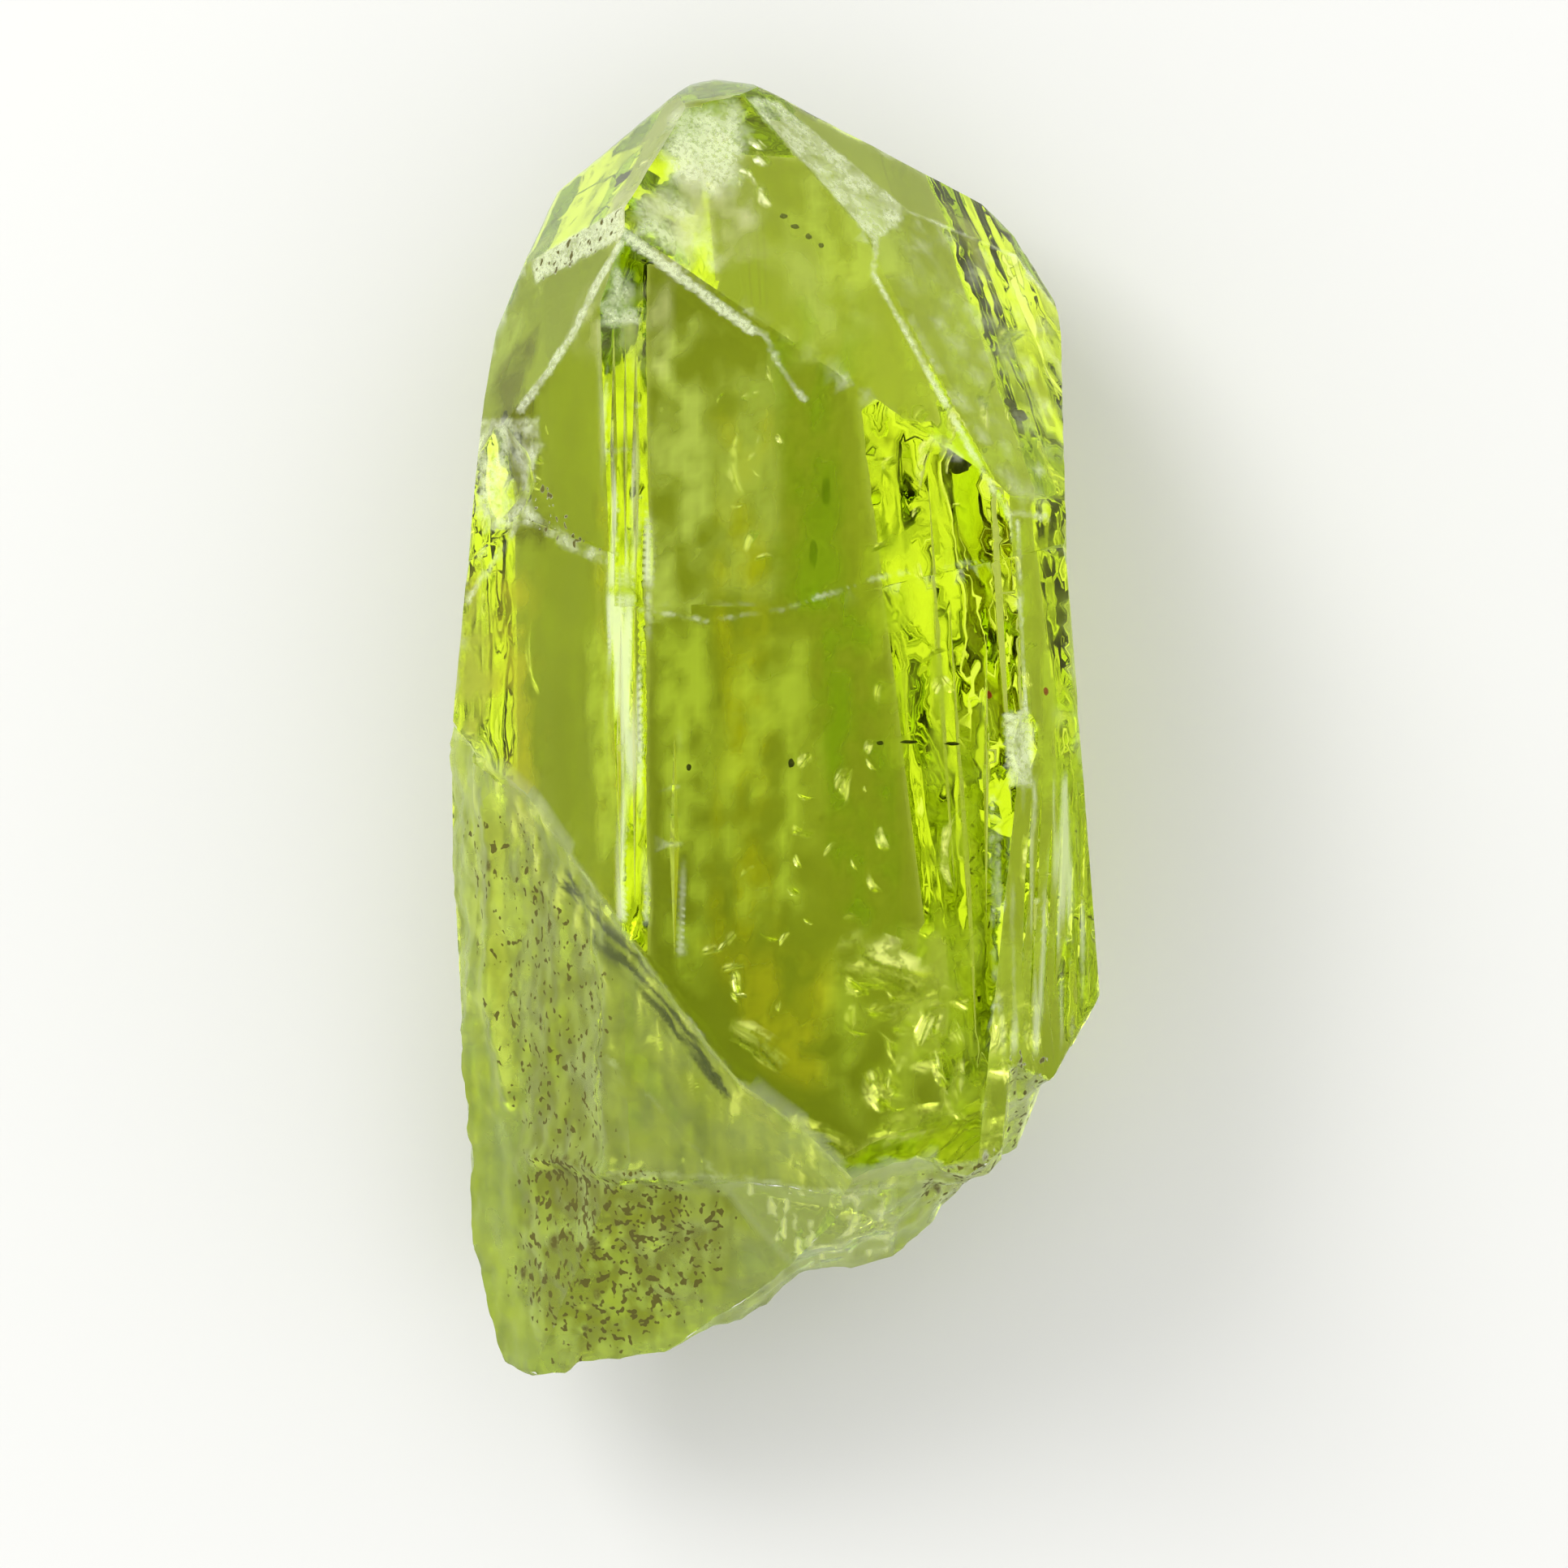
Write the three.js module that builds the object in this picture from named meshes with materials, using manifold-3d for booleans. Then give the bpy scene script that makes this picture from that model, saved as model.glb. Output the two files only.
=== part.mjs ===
// Diopside crystal: one loose, gemmy prism with a pointed tip and a broken base, lying on its flat back.
// Millimetres. +Z is up. +Y runs along the prism towards the tip. +X is the right-hand side seen from above.
// The origin is on the surface that the crystal rests on, under the middle of its box.

import * as THREE from 'three';
import { mergeVertices } from 'three/addons/utils/BufferGeometryUtils.js';
import { ImprovedNoise } from 'three/addons/math/ImprovedNoise.js';
import Module from 'manifold-3d';

// Driving dimensions

const LENGTH = 30;
const WIDTH = 15;
const THICKNESS = 10.53;
const ROUGH_MARGIN = 1; // how far the uncut block stands outside the crystal
const GROWTH_STEP = 0.09; // how far the older, upper growth lies below the younger one

// Flat faces. turn is the direction of the outward normal seen from above, 0 along +X and 90 along +Y.
// tilt is the normal's angle from straight up, and at is a point on the face.

const FRONT_FACES = [
	{ turn: 0, tilt: 0, at: [ 1.13, 0, THICKNESS ] },
	{ turn: - 177.8, tilt: 45, at: [ - 5.98, - 4.45, 8.02 ] },
	{ turn: 3.5, tilt: 45, at: [ 6.36, - 5.21, 10.2 ] },
];
const LEFT_FACE = FRONT_FACES[ 1 ];
const UPPER_FRONT = { turn: 0, tilt: 0, at: [ 1.13, 0, THICKNESS - GROWTH_STEP ] };

const TIP_FACES = {
	front: { turn: 55.6, tilt: 35, at: [ - 0.41, 11.43, 9.22 ] },
	right: { turn: 41.5, tilt: 54, at: [ 5.13, 8.62, 7.59 ] },
	frostedBevel: { turn: 48.2, tilt: 55.6, at: [ 0.78, 13.46, 7.25 ] },
	topRight: { turn: 48.5, tilt: 61.2, at: [ 3.76, 12.25, 5.41 ] },
	shoulder: { turn: 39.5, tilt: 69, at: [ 5.89, 10.79, 4.66 ] },
	left: { turn: 162.2, tilt: 60.5, at: [ - 5.23, 9.36, 8.45 ] },
	topLeft: { turn: 138.7, tilt: 73.5, at: [ - 3.71, 12.74, 7.35 ] },
	apex: { turn: 94.4, tilt: 74, at: [ - 1.31, 14.69, 6.89 ] },
};

const SIDE_WALLS = [
	{ turn: 103.1, tilt: 90, at: [ - 1.67, 14.92, 5.46 ] },
	{ turn: 80.1, tilt: 90, at: [ - 0.91, 14.9, 5.16 ] },
	{ turn: 63.4, tilt: 90, at: [ 1.72, 13.73, 4.6 ] },
	{ turn: 45, tilt: 90, at: [ 5.23, 11.77, 4.09 ] },
	{ turn: 32.6, tilt: 90, at: [ 5.63, 11.34, 4.24 ] },
	{ turn: 14.9, tilt: 90, at: [ 6.55, 9.68, 5.07 ] },
	{ turn: 128.2, tilt: 90, at: [ - 3.25, 13.83, 5.22 ] },
	{ turn: 157.4, tilt: 90, at: [ - 5.69, 10.89, 4.58 ] },
	{ turn: 170.5, tilt: 90, at: [ - 6.57, 8.27, 5.26 ] },
	{ turn: 174.4, tilt: 90, at: [ - 7.04, 3.97, 5.96 ] },
	{ turn: - 179.5, tilt: 90, at: [ - 7.47, - 1.71, 5.66 ] },
	{ turn: - 176.7, tilt: 90, at: [ - 7.2, - 7.51, 5.54 ] },
	{ turn: - 166.2, tilt: 90, at: [ - 6.52, - 13.8, 5.41 ] },
];

const BACK_FACES = {
	left: { turn: 180, tilt: 134, at: [ - 5.82, - 0.78, 2.97 ] },
	right: { turn: 7.1, tilt: 134, at: [ 4.84, 6.06, 2.74 ] },
	tipLeft: { turn: 114.5, tilt: 120, at: [ - 2.84, 13.07, 2.86 ] },
	tipRight: { turn: 71.1, tilt: 118, at: [ 2.74, 13.07, 1.96 ] },
	tip: { turn: 92, tilt: 128, at: [ 0.45, 13.18, 2.05 ] },
};

// The right side leans outward in the lower growth, and its slope is set further in towards the base.

const UPPER_RIGHT_WALL = { turn: 0.5, tilt: 90, at: [ 6.66, 7, 6.38 ] };
const LOWER_RIGHT_WALL = { turn: 4.5, tilt: 90, at: [ 6.61, 4.8, 5.64 ] };
const LOWER_RIGHT_SLOPE = { turn: - 5.9, tilt: 45, at: [ 5.62, - 0.48, THICKNESS ] };

// Upper ends of the lower growth: the front, the front's right part, and the left slope with its two edges.

const FRONT_STEP = { turn: 90, tilt: 90, at: [ - 0.99, 2.72, THICKNESS ] };
const RIGHT_STEP = { turn: 103, tilt: 90, at: [ 0.28, 2.67, THICKNESS ] };
const LEFT_STEPS = [
	{ turn: 125.5, tilt: 90, at: [ - 5.8, 4.7, 8.46 ] },
	{ turn: 68.2, tilt: 90, at: [ - 3.99, 4.06, 10.25 ] },
	{ turn: 0, tilt: 90, at: [ - 3.64, 3.59, THICKNESS ] },
];

// The long break across the lower left. Its upper line runs from SCARP_START to SCARP_END with small bends,
// given as [distance along the line, distance that the break lies beyond it].

const SCARP_START = new THREE.Vector2( 1.89, - 10.4 );
const SCARP_END = new THREE.Vector2( - 7.2, - 0.2 );
const SCARP_BENDS = [ [ 0, 0 ], [ 1.7, 0.12 ], [ 3.6, 0.5 ], [ 8, 0.2 ], [ 11.5, - 0.22 ], [ 13.7, 0 ] ];
const SCARP_WIDTH = 1.05;
const SCARP_DROP = 0.85;
const SCARP_EDGE_SLOPE = 1.5;
const FLOOR_SLOPE = 0.25;
const SCARP_ENDS = [ - 2.5, 15 ]; // how far the break is worked out along its line
const SCARP_CELL = 0.55;
const SCARP_ROWS = [ - 1.2, 0, 0.22, 0.46, 0.74, 1.05 ]; // spacing across the scarp
const FLOOR_ROWS = [ 1.6, 2.2, 2.8, 3.4, 4, 4.7, 5.4, 6.2, 7, 7.9, 8.9, 10.5 ]; // and across the floor
const FLOOR_WAVE = 0.1;
const CALM_EDGE = - 6.9; // the waves of the floor fade out towards this X, at the side strip
const CALM_WIDTH = 1.8;
const SCARP_SIDE = { turn: - 138.3, tilt: 90, at: [ - 7.2, - 0.2, 6.85 ] };
const SIDE_STRIP = { turn: - 178, tilt: 66, at: [ - 6.4, - 5, 6.9 ] }; // bright strip along the left outline

// A second, gentler ledge crosses the break near the base, from LEDGE_START to LEDGE_END.

const LEDGE_START = new THREE.Vector2( 1.02, - 10.67 );
const LEDGE_END = new THREE.Vector2( - 3.55, - 10.15 );
const LEDGE_DROP = 0.28;
const LEDGE_WIDTH = 0.35;
const LEDGE_SLOPE = 0.45;
const LEDGE_ENDS = [ - 2.2, 8 ];
const LEDGE_CELL = 0.5;
const LEDGE_ROWS = [ - 0.6, 0, 0.12, 0.35, 0.9, 1.5, 2.2, 3, 3.9, 5 ];

// The broken base, as [ x, y, forward ]: the outline seen from above, and how fast the break slopes up and
// back from it towards the front face.

const BASE_OUTLINE = [
	[ - 8.2, - 14.6, 0 ],
	[ - 6.63, - 14.86, 0 ],
	[ - 6.26, - 14.76, 0 ],
	[ - 5.6, - 14.97, 0 ],
	[ - 4.85, - 14.93, 0 ],
	[ - 4.48, - 14.71, 0 ],
	[ - 3.6, - 14.62, 0 ],
	[ - 2.7, - 14.48, 0 ],
	[ - 2.05, - 14.22, 0.02 ],
	[ - 1.39, - 13.86, 0.06 ],
	[ - 0.75, - 13.7, 0.12 ],
	[ - 0.17, - 13.36, 0.22 ],
	[ 0.2, - 12.92, 0.32 ],
	[ 0.58, - 12.65, 0.4 ],
	[ 1.1, - 12.47, 0.43 ],
	[ 1.61, - 12.4, 0.45 ],
	[ 2.2, - 12.36, 0.45 ],
	[ 2.74, - 12.27, 0.44 ],
	[ 3.25, - 11.9, 0.42 ],
	[ 3.64, - 11.52, 0.35 ],
	[ 3.86, - 11.05, 0.27 ],
	[ 4.4, - 10.4, 0.12 ],
	[ 4.89, - 9.93, 0.06 ],
	[ 5.2, - 9.87, 0.08 ],
	[ 5.38, - 9.83, 0.52 ],
	[ 5.58, - 9.7, 0.5 ],
	[ 5.8, - 9.25, 0.4 ],
	[ 6.02, - 8.71, 0.28 ],
	[ 6.2, - 8.1, 0.14 ],
	[ 6.34, - 7.59, 0.04 ],
	[ 6.77, - 7.17, 0.02 ],
	[ 7.33, - 6.55, 0 ],
	[ 7.46, - 6.18, 0 ],
	[ 7.65, - 5.52, 0 ],
	[ 8.6, - 3, 0 ],
];
const BASE_LIP = 6.4; // height of the outline on the broken base
const BASE_UNDERCUT = 0.35; // how fast the break runs back below the lip
const BASE_PLAIN_OUTLINE = [
	[ - 8.2, - 14.7 ],
	[ - 5, - 14.6 ],
	[ 0, - 13.1 ],
	[ 3, - 11.9 ],
	[ 5.8, - 9.2 ],
	[ 8.6, - 4 ],
];
const BASE_FADE = 2.2; // height over which the scallops of the outline fade out
const BASE_RIPPLE = 0.5;
const BASE_RIPPLE_SIZE = 1.9;
const BASE_CELL = 0.5;

// Chips: shallow shell-shaped breaks. Each is the cap that an uneven lump takes out of the crystal. The lump
// has this size and turn about Z, and its centre is outside the crystal.

const CHIPS = [
	{ at: [ - 7.05, 5.95, 8.95 ], size: [ 1.5, 2.1, 1.5 ], turn: 6 },
	{ at: [ - 6.62, 5.1, 8.5 ], size: [ 0.72, 0.9, 0.72 ], turn: 0 },
	{ at: [ 5.95, - 0.5, 11.05 ], size: [ 0.6, 1.3, 0.85 ], turn: 4 },
	{ at: [ - 8.6, - 10.2, 5.2 ], size: [ 1.75, 2, 2.2 ], turn: 0 },
	{ at: [ 4.3, - 5.9, - 1.1 ], size: [ 1.5, 2.3, 1.6 ], turn: 12 },
	{ at: [ - 3.9, 4.2, - 0.9 ], size: [ 1.2, 2.3, 1.35 ], turn: - 6 },
	{ at: [ 8.1, - 3.4, 3.2 ], size: [ 1.5, 2.4, 1.6 ], turn: 0 },
];
const CHIP_ROUGHNESS = 0.16;

// Long shallow grooves that growth left along the prism, as [ across, start, end, width, depth ] on a face.
// across is measured along the face from its point at, to the right when the face is seen from above.

const UPPER_FRONT_GROOVES = [
	[ - 4.78, 9.3, 3.2, 0.16, 0.06 ],
	[ - 4.52, 9, 3.6, 0.1, 0.05 ],
	[ - 4.28, 8.7, 3.1, 0.2, 0.07 ],
];
const FRONT_GROOVES = [
	[ - 4.62, 2.6, - 3.6, 0.2, 0.08 ],
	[ - 4.3, 3.4, - 4.1, 0.12, 0.05 ],
	[ - 3.4, - 0.1, - 5.3, 0.22, 0.06 ],
	[ 3.7, 2.2, - 4.6, 0.12, 0.03 ],
];
const RIGHT_SLOPE_GROOVES = [
	[ 0.2, - 1.6, - 5.8, 0.16, 0.07 ],
	[ 0.5, - 1.2, - 6.8, 0.12, 0.06 ],
	[ 0.85, - 2.1, - 7.2, 0.2, 0.08 ],
	[ 1.25, - 1.4, - 6.4, 0.14, 0.06 ],
	[ 1.6, - 2.8, - 7, 0.18, 0.07 ],
	[ 2, - 1.7, - 6.2, 0.14, 0.06 ],
];
const BACK_LEFT_GROOVES = [
	[ - 1.7, 8, - 2, 0.24, 0.08 ],
	[ - 0.9, 5, - 9, 0.18, 0.07 ],
	[ 0.1, 7.5, - 5, 0.3, 0.1 ],
	[ 1.2, 2, - 10.5, 0.2, 0.07 ],
];
const BACK_RIGHT_GROOVES = [
	[ - 1.5, 4, - 9, 0.22, 0.08 ],
	[ - 0.5, 8, - 2, 0.3, 0.1 ],
	[ 0.6, 3, - 8.5, 0.18, 0.07 ],
	[ 1.4, 6, - 4, 0.2, 0.07 ],
];

const CRYSTAL_COLOUR = 0xa9c42c;

const wasm = await Module();
wasm.setup();

const noise = new ImprovedNoise();
const UP = new THREE.Vector3( 0, 0, 1 );
const CUTTER_SIZE = 60;
const CUTTER_TOP = 16;
const BASE_CUTTER_DEPTH = 20;

function toSolid( geometry ) {

	const shape = geometry.clone();
	shape.deleteAttribute( 'normal' );
	shape.deleteAttribute( 'uv' );
	const merged = mergeVertices( shape, 1e-5 );
	const vertProperties = new Float32Array( merged.attributes.position.array );
	const triVerts = new Uint32Array( merged.index.array );
	return new wasm.Manifold( new wasm.Mesh( { numProp: 3, vertProperties, triVerts } ) );

}

function toGeometry( solid ) {

	const mesh = solid.getMesh();
	const geometry = new THREE.BufferGeometry();
	geometry.setAttribute( 'position', new THREE.BufferAttribute( mesh.vertProperties, 3 ) );
	geometry.setIndex( new THREE.BufferAttribute( mesh.triVerts, 1 ) );
	return geometry;

}

function normalOf( { turn, tilt } ) {

	const around = THREE.MathUtils.degToRad( turn );
	const down = THREE.MathUtils.degToRad( tilt );
	return new THREE.Vector3(
		Math.sin( down ) * Math.cos( around ),
		Math.sin( down ) * Math.sin( around ),
		Math.cos( down ),
	);

}

// Everything on the outer side of a face, moved out by lift.

function outside( face, lift = 0 ) {

	const normal = normalOf( face );
	const block = new THREE.BoxGeometry( CUTTER_SIZE, CUTTER_SIZE, CUTTER_SIZE );
	block.translate( 0, 0, CUTTER_SIZE / 2 );
	block.applyQuaternion( new THREE.Quaternion().setFromUnitVectors( UP, normal ) );
	block.translate( ...new THREE.Vector3( ...face.at ).addScaledVector( normal, lift ) );
	return toSolid( block );

}

function cutFaces( solid, faces, lift = 0 ) {

	return faces.reduce( ( rest, face ) => rest.subtract( outside( face, lift ) ), solid );

}

function interpolate( points, at ) {

	const next = points.findIndex( ( [ position ] ) => position > at );
	if ( next === 0 ) return points[ 0 ].slice( 1 );
	if ( next < 0 ) return points[ points.length - 1 ].slice( 1 );
	const [ before, after ] = [ points[ next - 1 ], points[ next ] ];
	const share = ( at - before[ 0 ] ) / ( after[ 0 ] - before[ 0 ] );
	return before.slice( 1 ).map( ( value, i ) => THREE.MathUtils.lerp( value, after[ i + 1 ], share ) );

}

function steps( from, to, cell ) {

	const count = Math.ceil( ( to - from ) / cell );
	return Array.from( { length: count + 1 }, ( _, i ) => THREE.MathUtils.lerp( from, to, i / count ) );

}

// A closed block over a grid of as by bs. placeAt gives the x and y of a grid point, heightAt the underside's
// height there, and the top is flat.

function reliefBlock( as, bs, placeAt, heightAt, top ) {

	const positions = [];
	const index = [];
	const columns = as.length;
	const layer = columns * bs.length;
	for ( const upper of [ false, true ] ) {

		for ( const b of bs ) {

			for ( const a of as ) {

				const [ x, y ] = placeAt( a, b );
				positions.push( x, y, upper ? top : Math.min( heightAt( x, y ), top - 0.1 ) );

			}

		}

	}

	const quad = ( a, b, c, d ) => index.push( a, b, c, a, c, d );
	for ( let row = 0; row < bs.length - 1; row ++ ) {

		for ( let column = 0; column < columns - 1; column ++ ) {

			const corner = row * columns + column;
			quad( corner, corner + columns, corner + columns + 1, corner + 1 );
			quad( layer + corner, layer + corner + 1, layer + corner + columns + 1, layer + corner + columns );

		}

	}

	for ( let column = 0; column < columns - 1; column ++ ) {

		const last = layer - columns + column;
		quad( column, column + 1, layer + column + 1, layer + column );
		quad( last + 1, last, layer + last, layer + last + 1 );

	}

	for ( let row = 0; row < bs.length - 1; row ++ ) {

		const left = row * columns;
		const right = left + columns - 1;
		quad( left + columns, left, layer + left, layer + left + columns );
		quad( right, right + columns, layer + right + columns, layer + right );

	}

	const geometry = new THREE.BufferGeometry();
	geometry.setAttribute( 'position', new THREE.Float32BufferAttribute( positions, 3 ) );
	geometry.setIndex( index );
	return geometry;

}

function heightOnFace( face, x, y ) {

	const normal = normalOf( face );
	const [ px, py, pz ] = face.at;
	return pz - ( normal.x * ( x - px ) + normal.y * ( y - py ) ) / normal.z;

}

// Distances along a line and beyond it, on its left-hand side, which is the side towards the base.

function alongAndBeyond( start, end, x, y ) {

	const along = end.clone().sub( start ).normalize();
	const beyond = new THREE.Vector2( - along.y, along.x );
	const offset = new THREE.Vector2( x, y ).sub( start );
	return [ offset.dot( along ), offset.dot( beyond ) ];

}

function ripple( x, y, z, size ) {

	return noise.noise( x / size, y / size, z / size );

}

// The prism, cut from a rough block. lift moves the front faces out or in.

function prism( rightWall, lift ) {

	const roughWidth = WIDTH + 2 * ROUGH_MARGIN;
	const roughLength = LENGTH + 2 * ROUGH_MARGIN;
	const roughThickness = THICKNESS + ROUGH_MARGIN;
	const rough = new THREE.BoxGeometry( roughWidth, roughLength, roughThickness );
	rough.translate( 0, 0, roughThickness / 2 );
	let solid = cutFaces( toSolid( rough ), FRONT_FACES, lift );
	solid = cutFaces( solid, [ ...SIDE_WALLS, ...Object.values( BACK_FACES ) ] );
	return cutFaces( solid, [ rightWall, LOWER_RIGHT_SLOPE ] );

}

function grownPrism() {

	const upper = prism( UPPER_RIGHT_WALL, - GROWTH_STEP );
	const lower = prism( LOWER_RIGHT_WALL, 0 );
	return upper
		.add( cutFaces( lower, [ FRONT_STEP ] ) )
		.add( cutFaces( lower, [ RIGHT_STEP ] ) )
		.add( cutFaces( lower, LEFT_STEPS ) );

}

// A point given by its distance along a line and beyond it, and back again.

function placeBeyond( start, end, along, beyond ) {

	const direction = end.clone().sub( start ).normalize();
	return [
		start.x + direction.x * along - direction.y * beyond,
		start.y + direction.y * along + direction.x * beyond,
	];

}

function placeOnScarp( along, beyond ) {

	const [ bend ] = interpolate( SCARP_BENDS, along );
	return placeBeyond( SCARP_START, SCARP_END, along, beyond + bend );

}

// Depth of the break below the old faces. It is negative on the side that is not broken.

function scarpDepth( x, y ) {

	const [ along, beyond ] = alongAndBeyond( SCARP_START, SCARP_END, x, y );
	const [ bend ] = interpolate( SCARP_BENDS, along );
	const distance = beyond - bend;
	if ( distance < 0 ) return distance * SCARP_EDGE_SLOPE;
	const share = Math.min( distance / SCARP_WIDTH, 1 );
	const cove = SCARP_DROP * ( 1 - ( 1 - share ) ** 2 );
	const calm = THREE.MathUtils.smoothstep( x, CALM_EDGE, CALM_EDGE + CALM_WIDTH );
	const waves = FLOOR_WAVE * share * calm * ( ripple( x, y, 0, 1.4 ) + 1.5 * ripple( x, y, 4, 3.6 ) );
	return cove + FLOOR_SLOPE * Math.max( 0, distance - SCARP_WIDTH ) + waves;

}

function ledgeDepth( x, y ) {

	const [ , beyond ] = alongAndBeyond( LEDGE_START, LEDGE_END, x, y );
	if ( beyond < 0 ) return beyond;
	return LEDGE_DROP * Math.min( beyond / LEDGE_WIDTH, 1 ) + LEDGE_SLOPE * beyond;

}

const frontFloor = ( x, y ) => THICKNESS - scarpDepth( x, y );
const leftFloor = ( x, y ) => heightOnFace( LEFT_FACE, x, y ) - scarpDepth( x, y );
const ledgeFloor = ( x, y ) => frontFloor( x, y ) - ledgeDepth( x, y );

function breakCutters() {

	const alongScarp = steps( ...SCARP_ENDS, SCARP_CELL );
	const acrossScarp = [ ...SCARP_ROWS, ...FLOOR_ROWS ];
	const alongLedge = steps( ...LEDGE_ENDS, LEDGE_CELL );
	const placeOnLedge = ( along, beyond ) => placeBeyond( LEDGE_START, LEDGE_END, along, beyond );
	return [
		toSolid( reliefBlock( alongScarp, acrossScarp, placeOnScarp, frontFloor, CUTTER_TOP ) ),
		toSolid( reliefBlock( alongScarp, acrossScarp, placeOnScarp, leftFloor, CUTTER_TOP ) ),
		toSolid( reliefBlock( alongLedge, LEDGE_ROWS, placeOnLedge, ledgeFloor, CUTTER_TOP ) ),
		outside( SIDE_STRIP ).intersect( outside( SCARP_SIDE ) ),
	];

}

// The height at which the broken base meets its outline: the lip, or the break's floor where that is lower.

function lipAt( x ) {

	const [ outline ] = interpolate( BASE_OUTLINE, x );
	return Math.min( BASE_LIP, leftFloor( x, outline ), ledgeFloor( x, outline ) );

}

// The broken base, worked out as a relief over X and Z whose height points towards -Y. Away from the lip the
// outline's small scallops fade into a plain curve.

function baseFace( x, z ) {

	const [ outline, forward ] = interpolate( BASE_OUTLINE, x );
	const [ plain ] = interpolate( BASE_PLAIN_OUTLINE, x );
	const above = Math.max( 0, z - lipAt( x ) );
	const below = Math.max( 0, lipAt( x ) - z );
	const fade = Math.min( ( above + below ) / BASE_FADE, 1 );
	const edge = THREE.MathUtils.lerp( outline, plain, fade );
	const waves = BASE_RIPPLE * fade * ripple( x, z, 7, BASE_RIPPLE_SIZE );
	return - ( edge + forward * above + BASE_UNDERCUT * below + waves );

}

function baseCutter() {

	const xs = BASE_OUTLINE.map( ( [ x ] ) => x );
	const belowLip = steps( - BASE_LIP - ROUGH_MARGIN, 0, BASE_CELL );
	const aboveLip = steps( BASE_CELL, THICKNESS, BASE_CELL );
	const placeFromLip = ( x, fromLip ) => [ x, lipAt( x ) + fromLip ];
	const rows = [ ...belowLip, ...aboveLip ];
	const block = reliefBlock( xs, rows, placeFromLip, baseFace, BASE_CUTTER_DEPTH );
	block.rotateX( Math.PI / 2 );
	return toSolid( block );

}

function chipCutter( { at, size, turn } ) {

	const lump = new THREE.IcosahedronGeometry( 1, 3 );
	const position = lump.attributes.position;
	const point = new THREE.Vector3();
	for ( let i = 0; i < position.count; i ++ ) {

		point.fromBufferAttribute( position, i );
		const swell = 1 + CHIP_ROUGHNESS * ripple( point.x + at[ 0 ], point.y + at[ 1 ], point.z, 0.8 );
		point.multiplyScalar( swell );
		position.setXYZ( i, point.x, point.y, point.z );

	}

	lump.scale( ...size );
	lump.rotateZ( THREE.MathUtils.degToRad( turn ) );
	lump.translate( ...at );
	return toSolid( lump );

}

// A groove is a stretched octahedron sunk to half its height, so it tapers to nothing at both ends.

function grooveCutter( face, [ across, start, end, width, depth ] ) {

	const normal = normalOf( face );
	const side = new THREE.Vector3( normal.z, 0, - normal.x ).normalize();
	const centre = new THREE.Vector3( ...face.at ).addScaledVector( side, across );
	centre.y = ( start + end ) / 2;
	centre.z = heightOnFace( face, centre.x, centre.y );
	const groove = new THREE.OctahedronGeometry( 1 );
	groove.scale( width / 2, Math.abs( start - end ) / 2, depth );
	const lengthwise = new THREE.Vector3().crossVectors( normal, side );
	groove.applyMatrix4( new THREE.Matrix4().makeBasis( side, lengthwise, normal ) );
	groove.translate( ...centre );
	return toSolid( groove );

}

function cutGrooves( solid, face, grooves ) {

	return grooves.reduce( ( rest, groove ) => rest.subtract( grooveCutter( face, groove ) ), solid );

}

function makeCrystal() {

	let crystal = cutFaces( grownPrism(), Object.values( TIP_FACES ) );
	crystal = breakCutters().reduce( ( rest, cutter ) => rest.subtract( cutter ), crystal );
	crystal = crystal.subtract( baseCutter() );
	crystal = CHIPS.reduce( ( rest, chip ) => rest.subtract( chipCutter( chip ) ), crystal );
	crystal = cutGrooves( crystal, UPPER_FRONT, UPPER_FRONT_GROOVES );
	crystal = cutGrooves( crystal, FRONT_FACES[ 0 ], FRONT_GROOVES );
	crystal = cutGrooves( crystal, LOWER_RIGHT_SLOPE, RIGHT_SLOPE_GROOVES );
	crystal = cutGrooves( crystal, BACK_FACES.left, BACK_LEFT_GROOVES );
	crystal = cutGrooves( crystal, BACK_FACES.right, BACK_RIGHT_GROOVES );
	return toGeometry( crystal );

}

const crystalMaterial = new THREE.MeshStandardMaterial( {
	name: 'diopside',
	color: CRYSTAL_COLOUR,
	roughness: 0.12,
	metalness: 0,
	flatShading: true,
	transparent: true,
	opacity: 0.7,
} );

const crystal = new THREE.Mesh( makeCrystal(), crystalMaterial );
crystal.name = 'diopside_crystal';

const group = new THREE.Group();
group.add( crystal );

export default group;
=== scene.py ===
import math
import bpy
import bmesh
import numpy as np
from mathutils import Matrix, Vector
from mathutils.bvhtree import BVHTree


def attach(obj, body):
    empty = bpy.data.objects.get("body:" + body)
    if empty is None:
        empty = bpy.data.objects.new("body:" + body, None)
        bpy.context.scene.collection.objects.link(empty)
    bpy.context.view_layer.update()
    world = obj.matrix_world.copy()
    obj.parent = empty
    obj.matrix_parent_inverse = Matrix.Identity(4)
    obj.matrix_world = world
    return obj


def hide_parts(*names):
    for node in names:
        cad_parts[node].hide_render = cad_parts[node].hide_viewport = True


# A loose diopside crystal lying on its flat back, seen from straight above.
# Lengths are in millimetres in the frame of the model, with +Y towards the tip.
# They become metres where meshes are made.

MM = 0.001
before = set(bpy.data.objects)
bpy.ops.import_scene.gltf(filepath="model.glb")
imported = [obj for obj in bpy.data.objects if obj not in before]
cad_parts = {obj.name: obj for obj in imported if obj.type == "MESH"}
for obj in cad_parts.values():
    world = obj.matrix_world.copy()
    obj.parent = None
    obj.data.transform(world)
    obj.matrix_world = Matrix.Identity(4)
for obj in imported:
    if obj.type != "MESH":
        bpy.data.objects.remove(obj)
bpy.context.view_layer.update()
CAD_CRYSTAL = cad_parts["diopside_crystal"]

# Camera and studio

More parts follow.
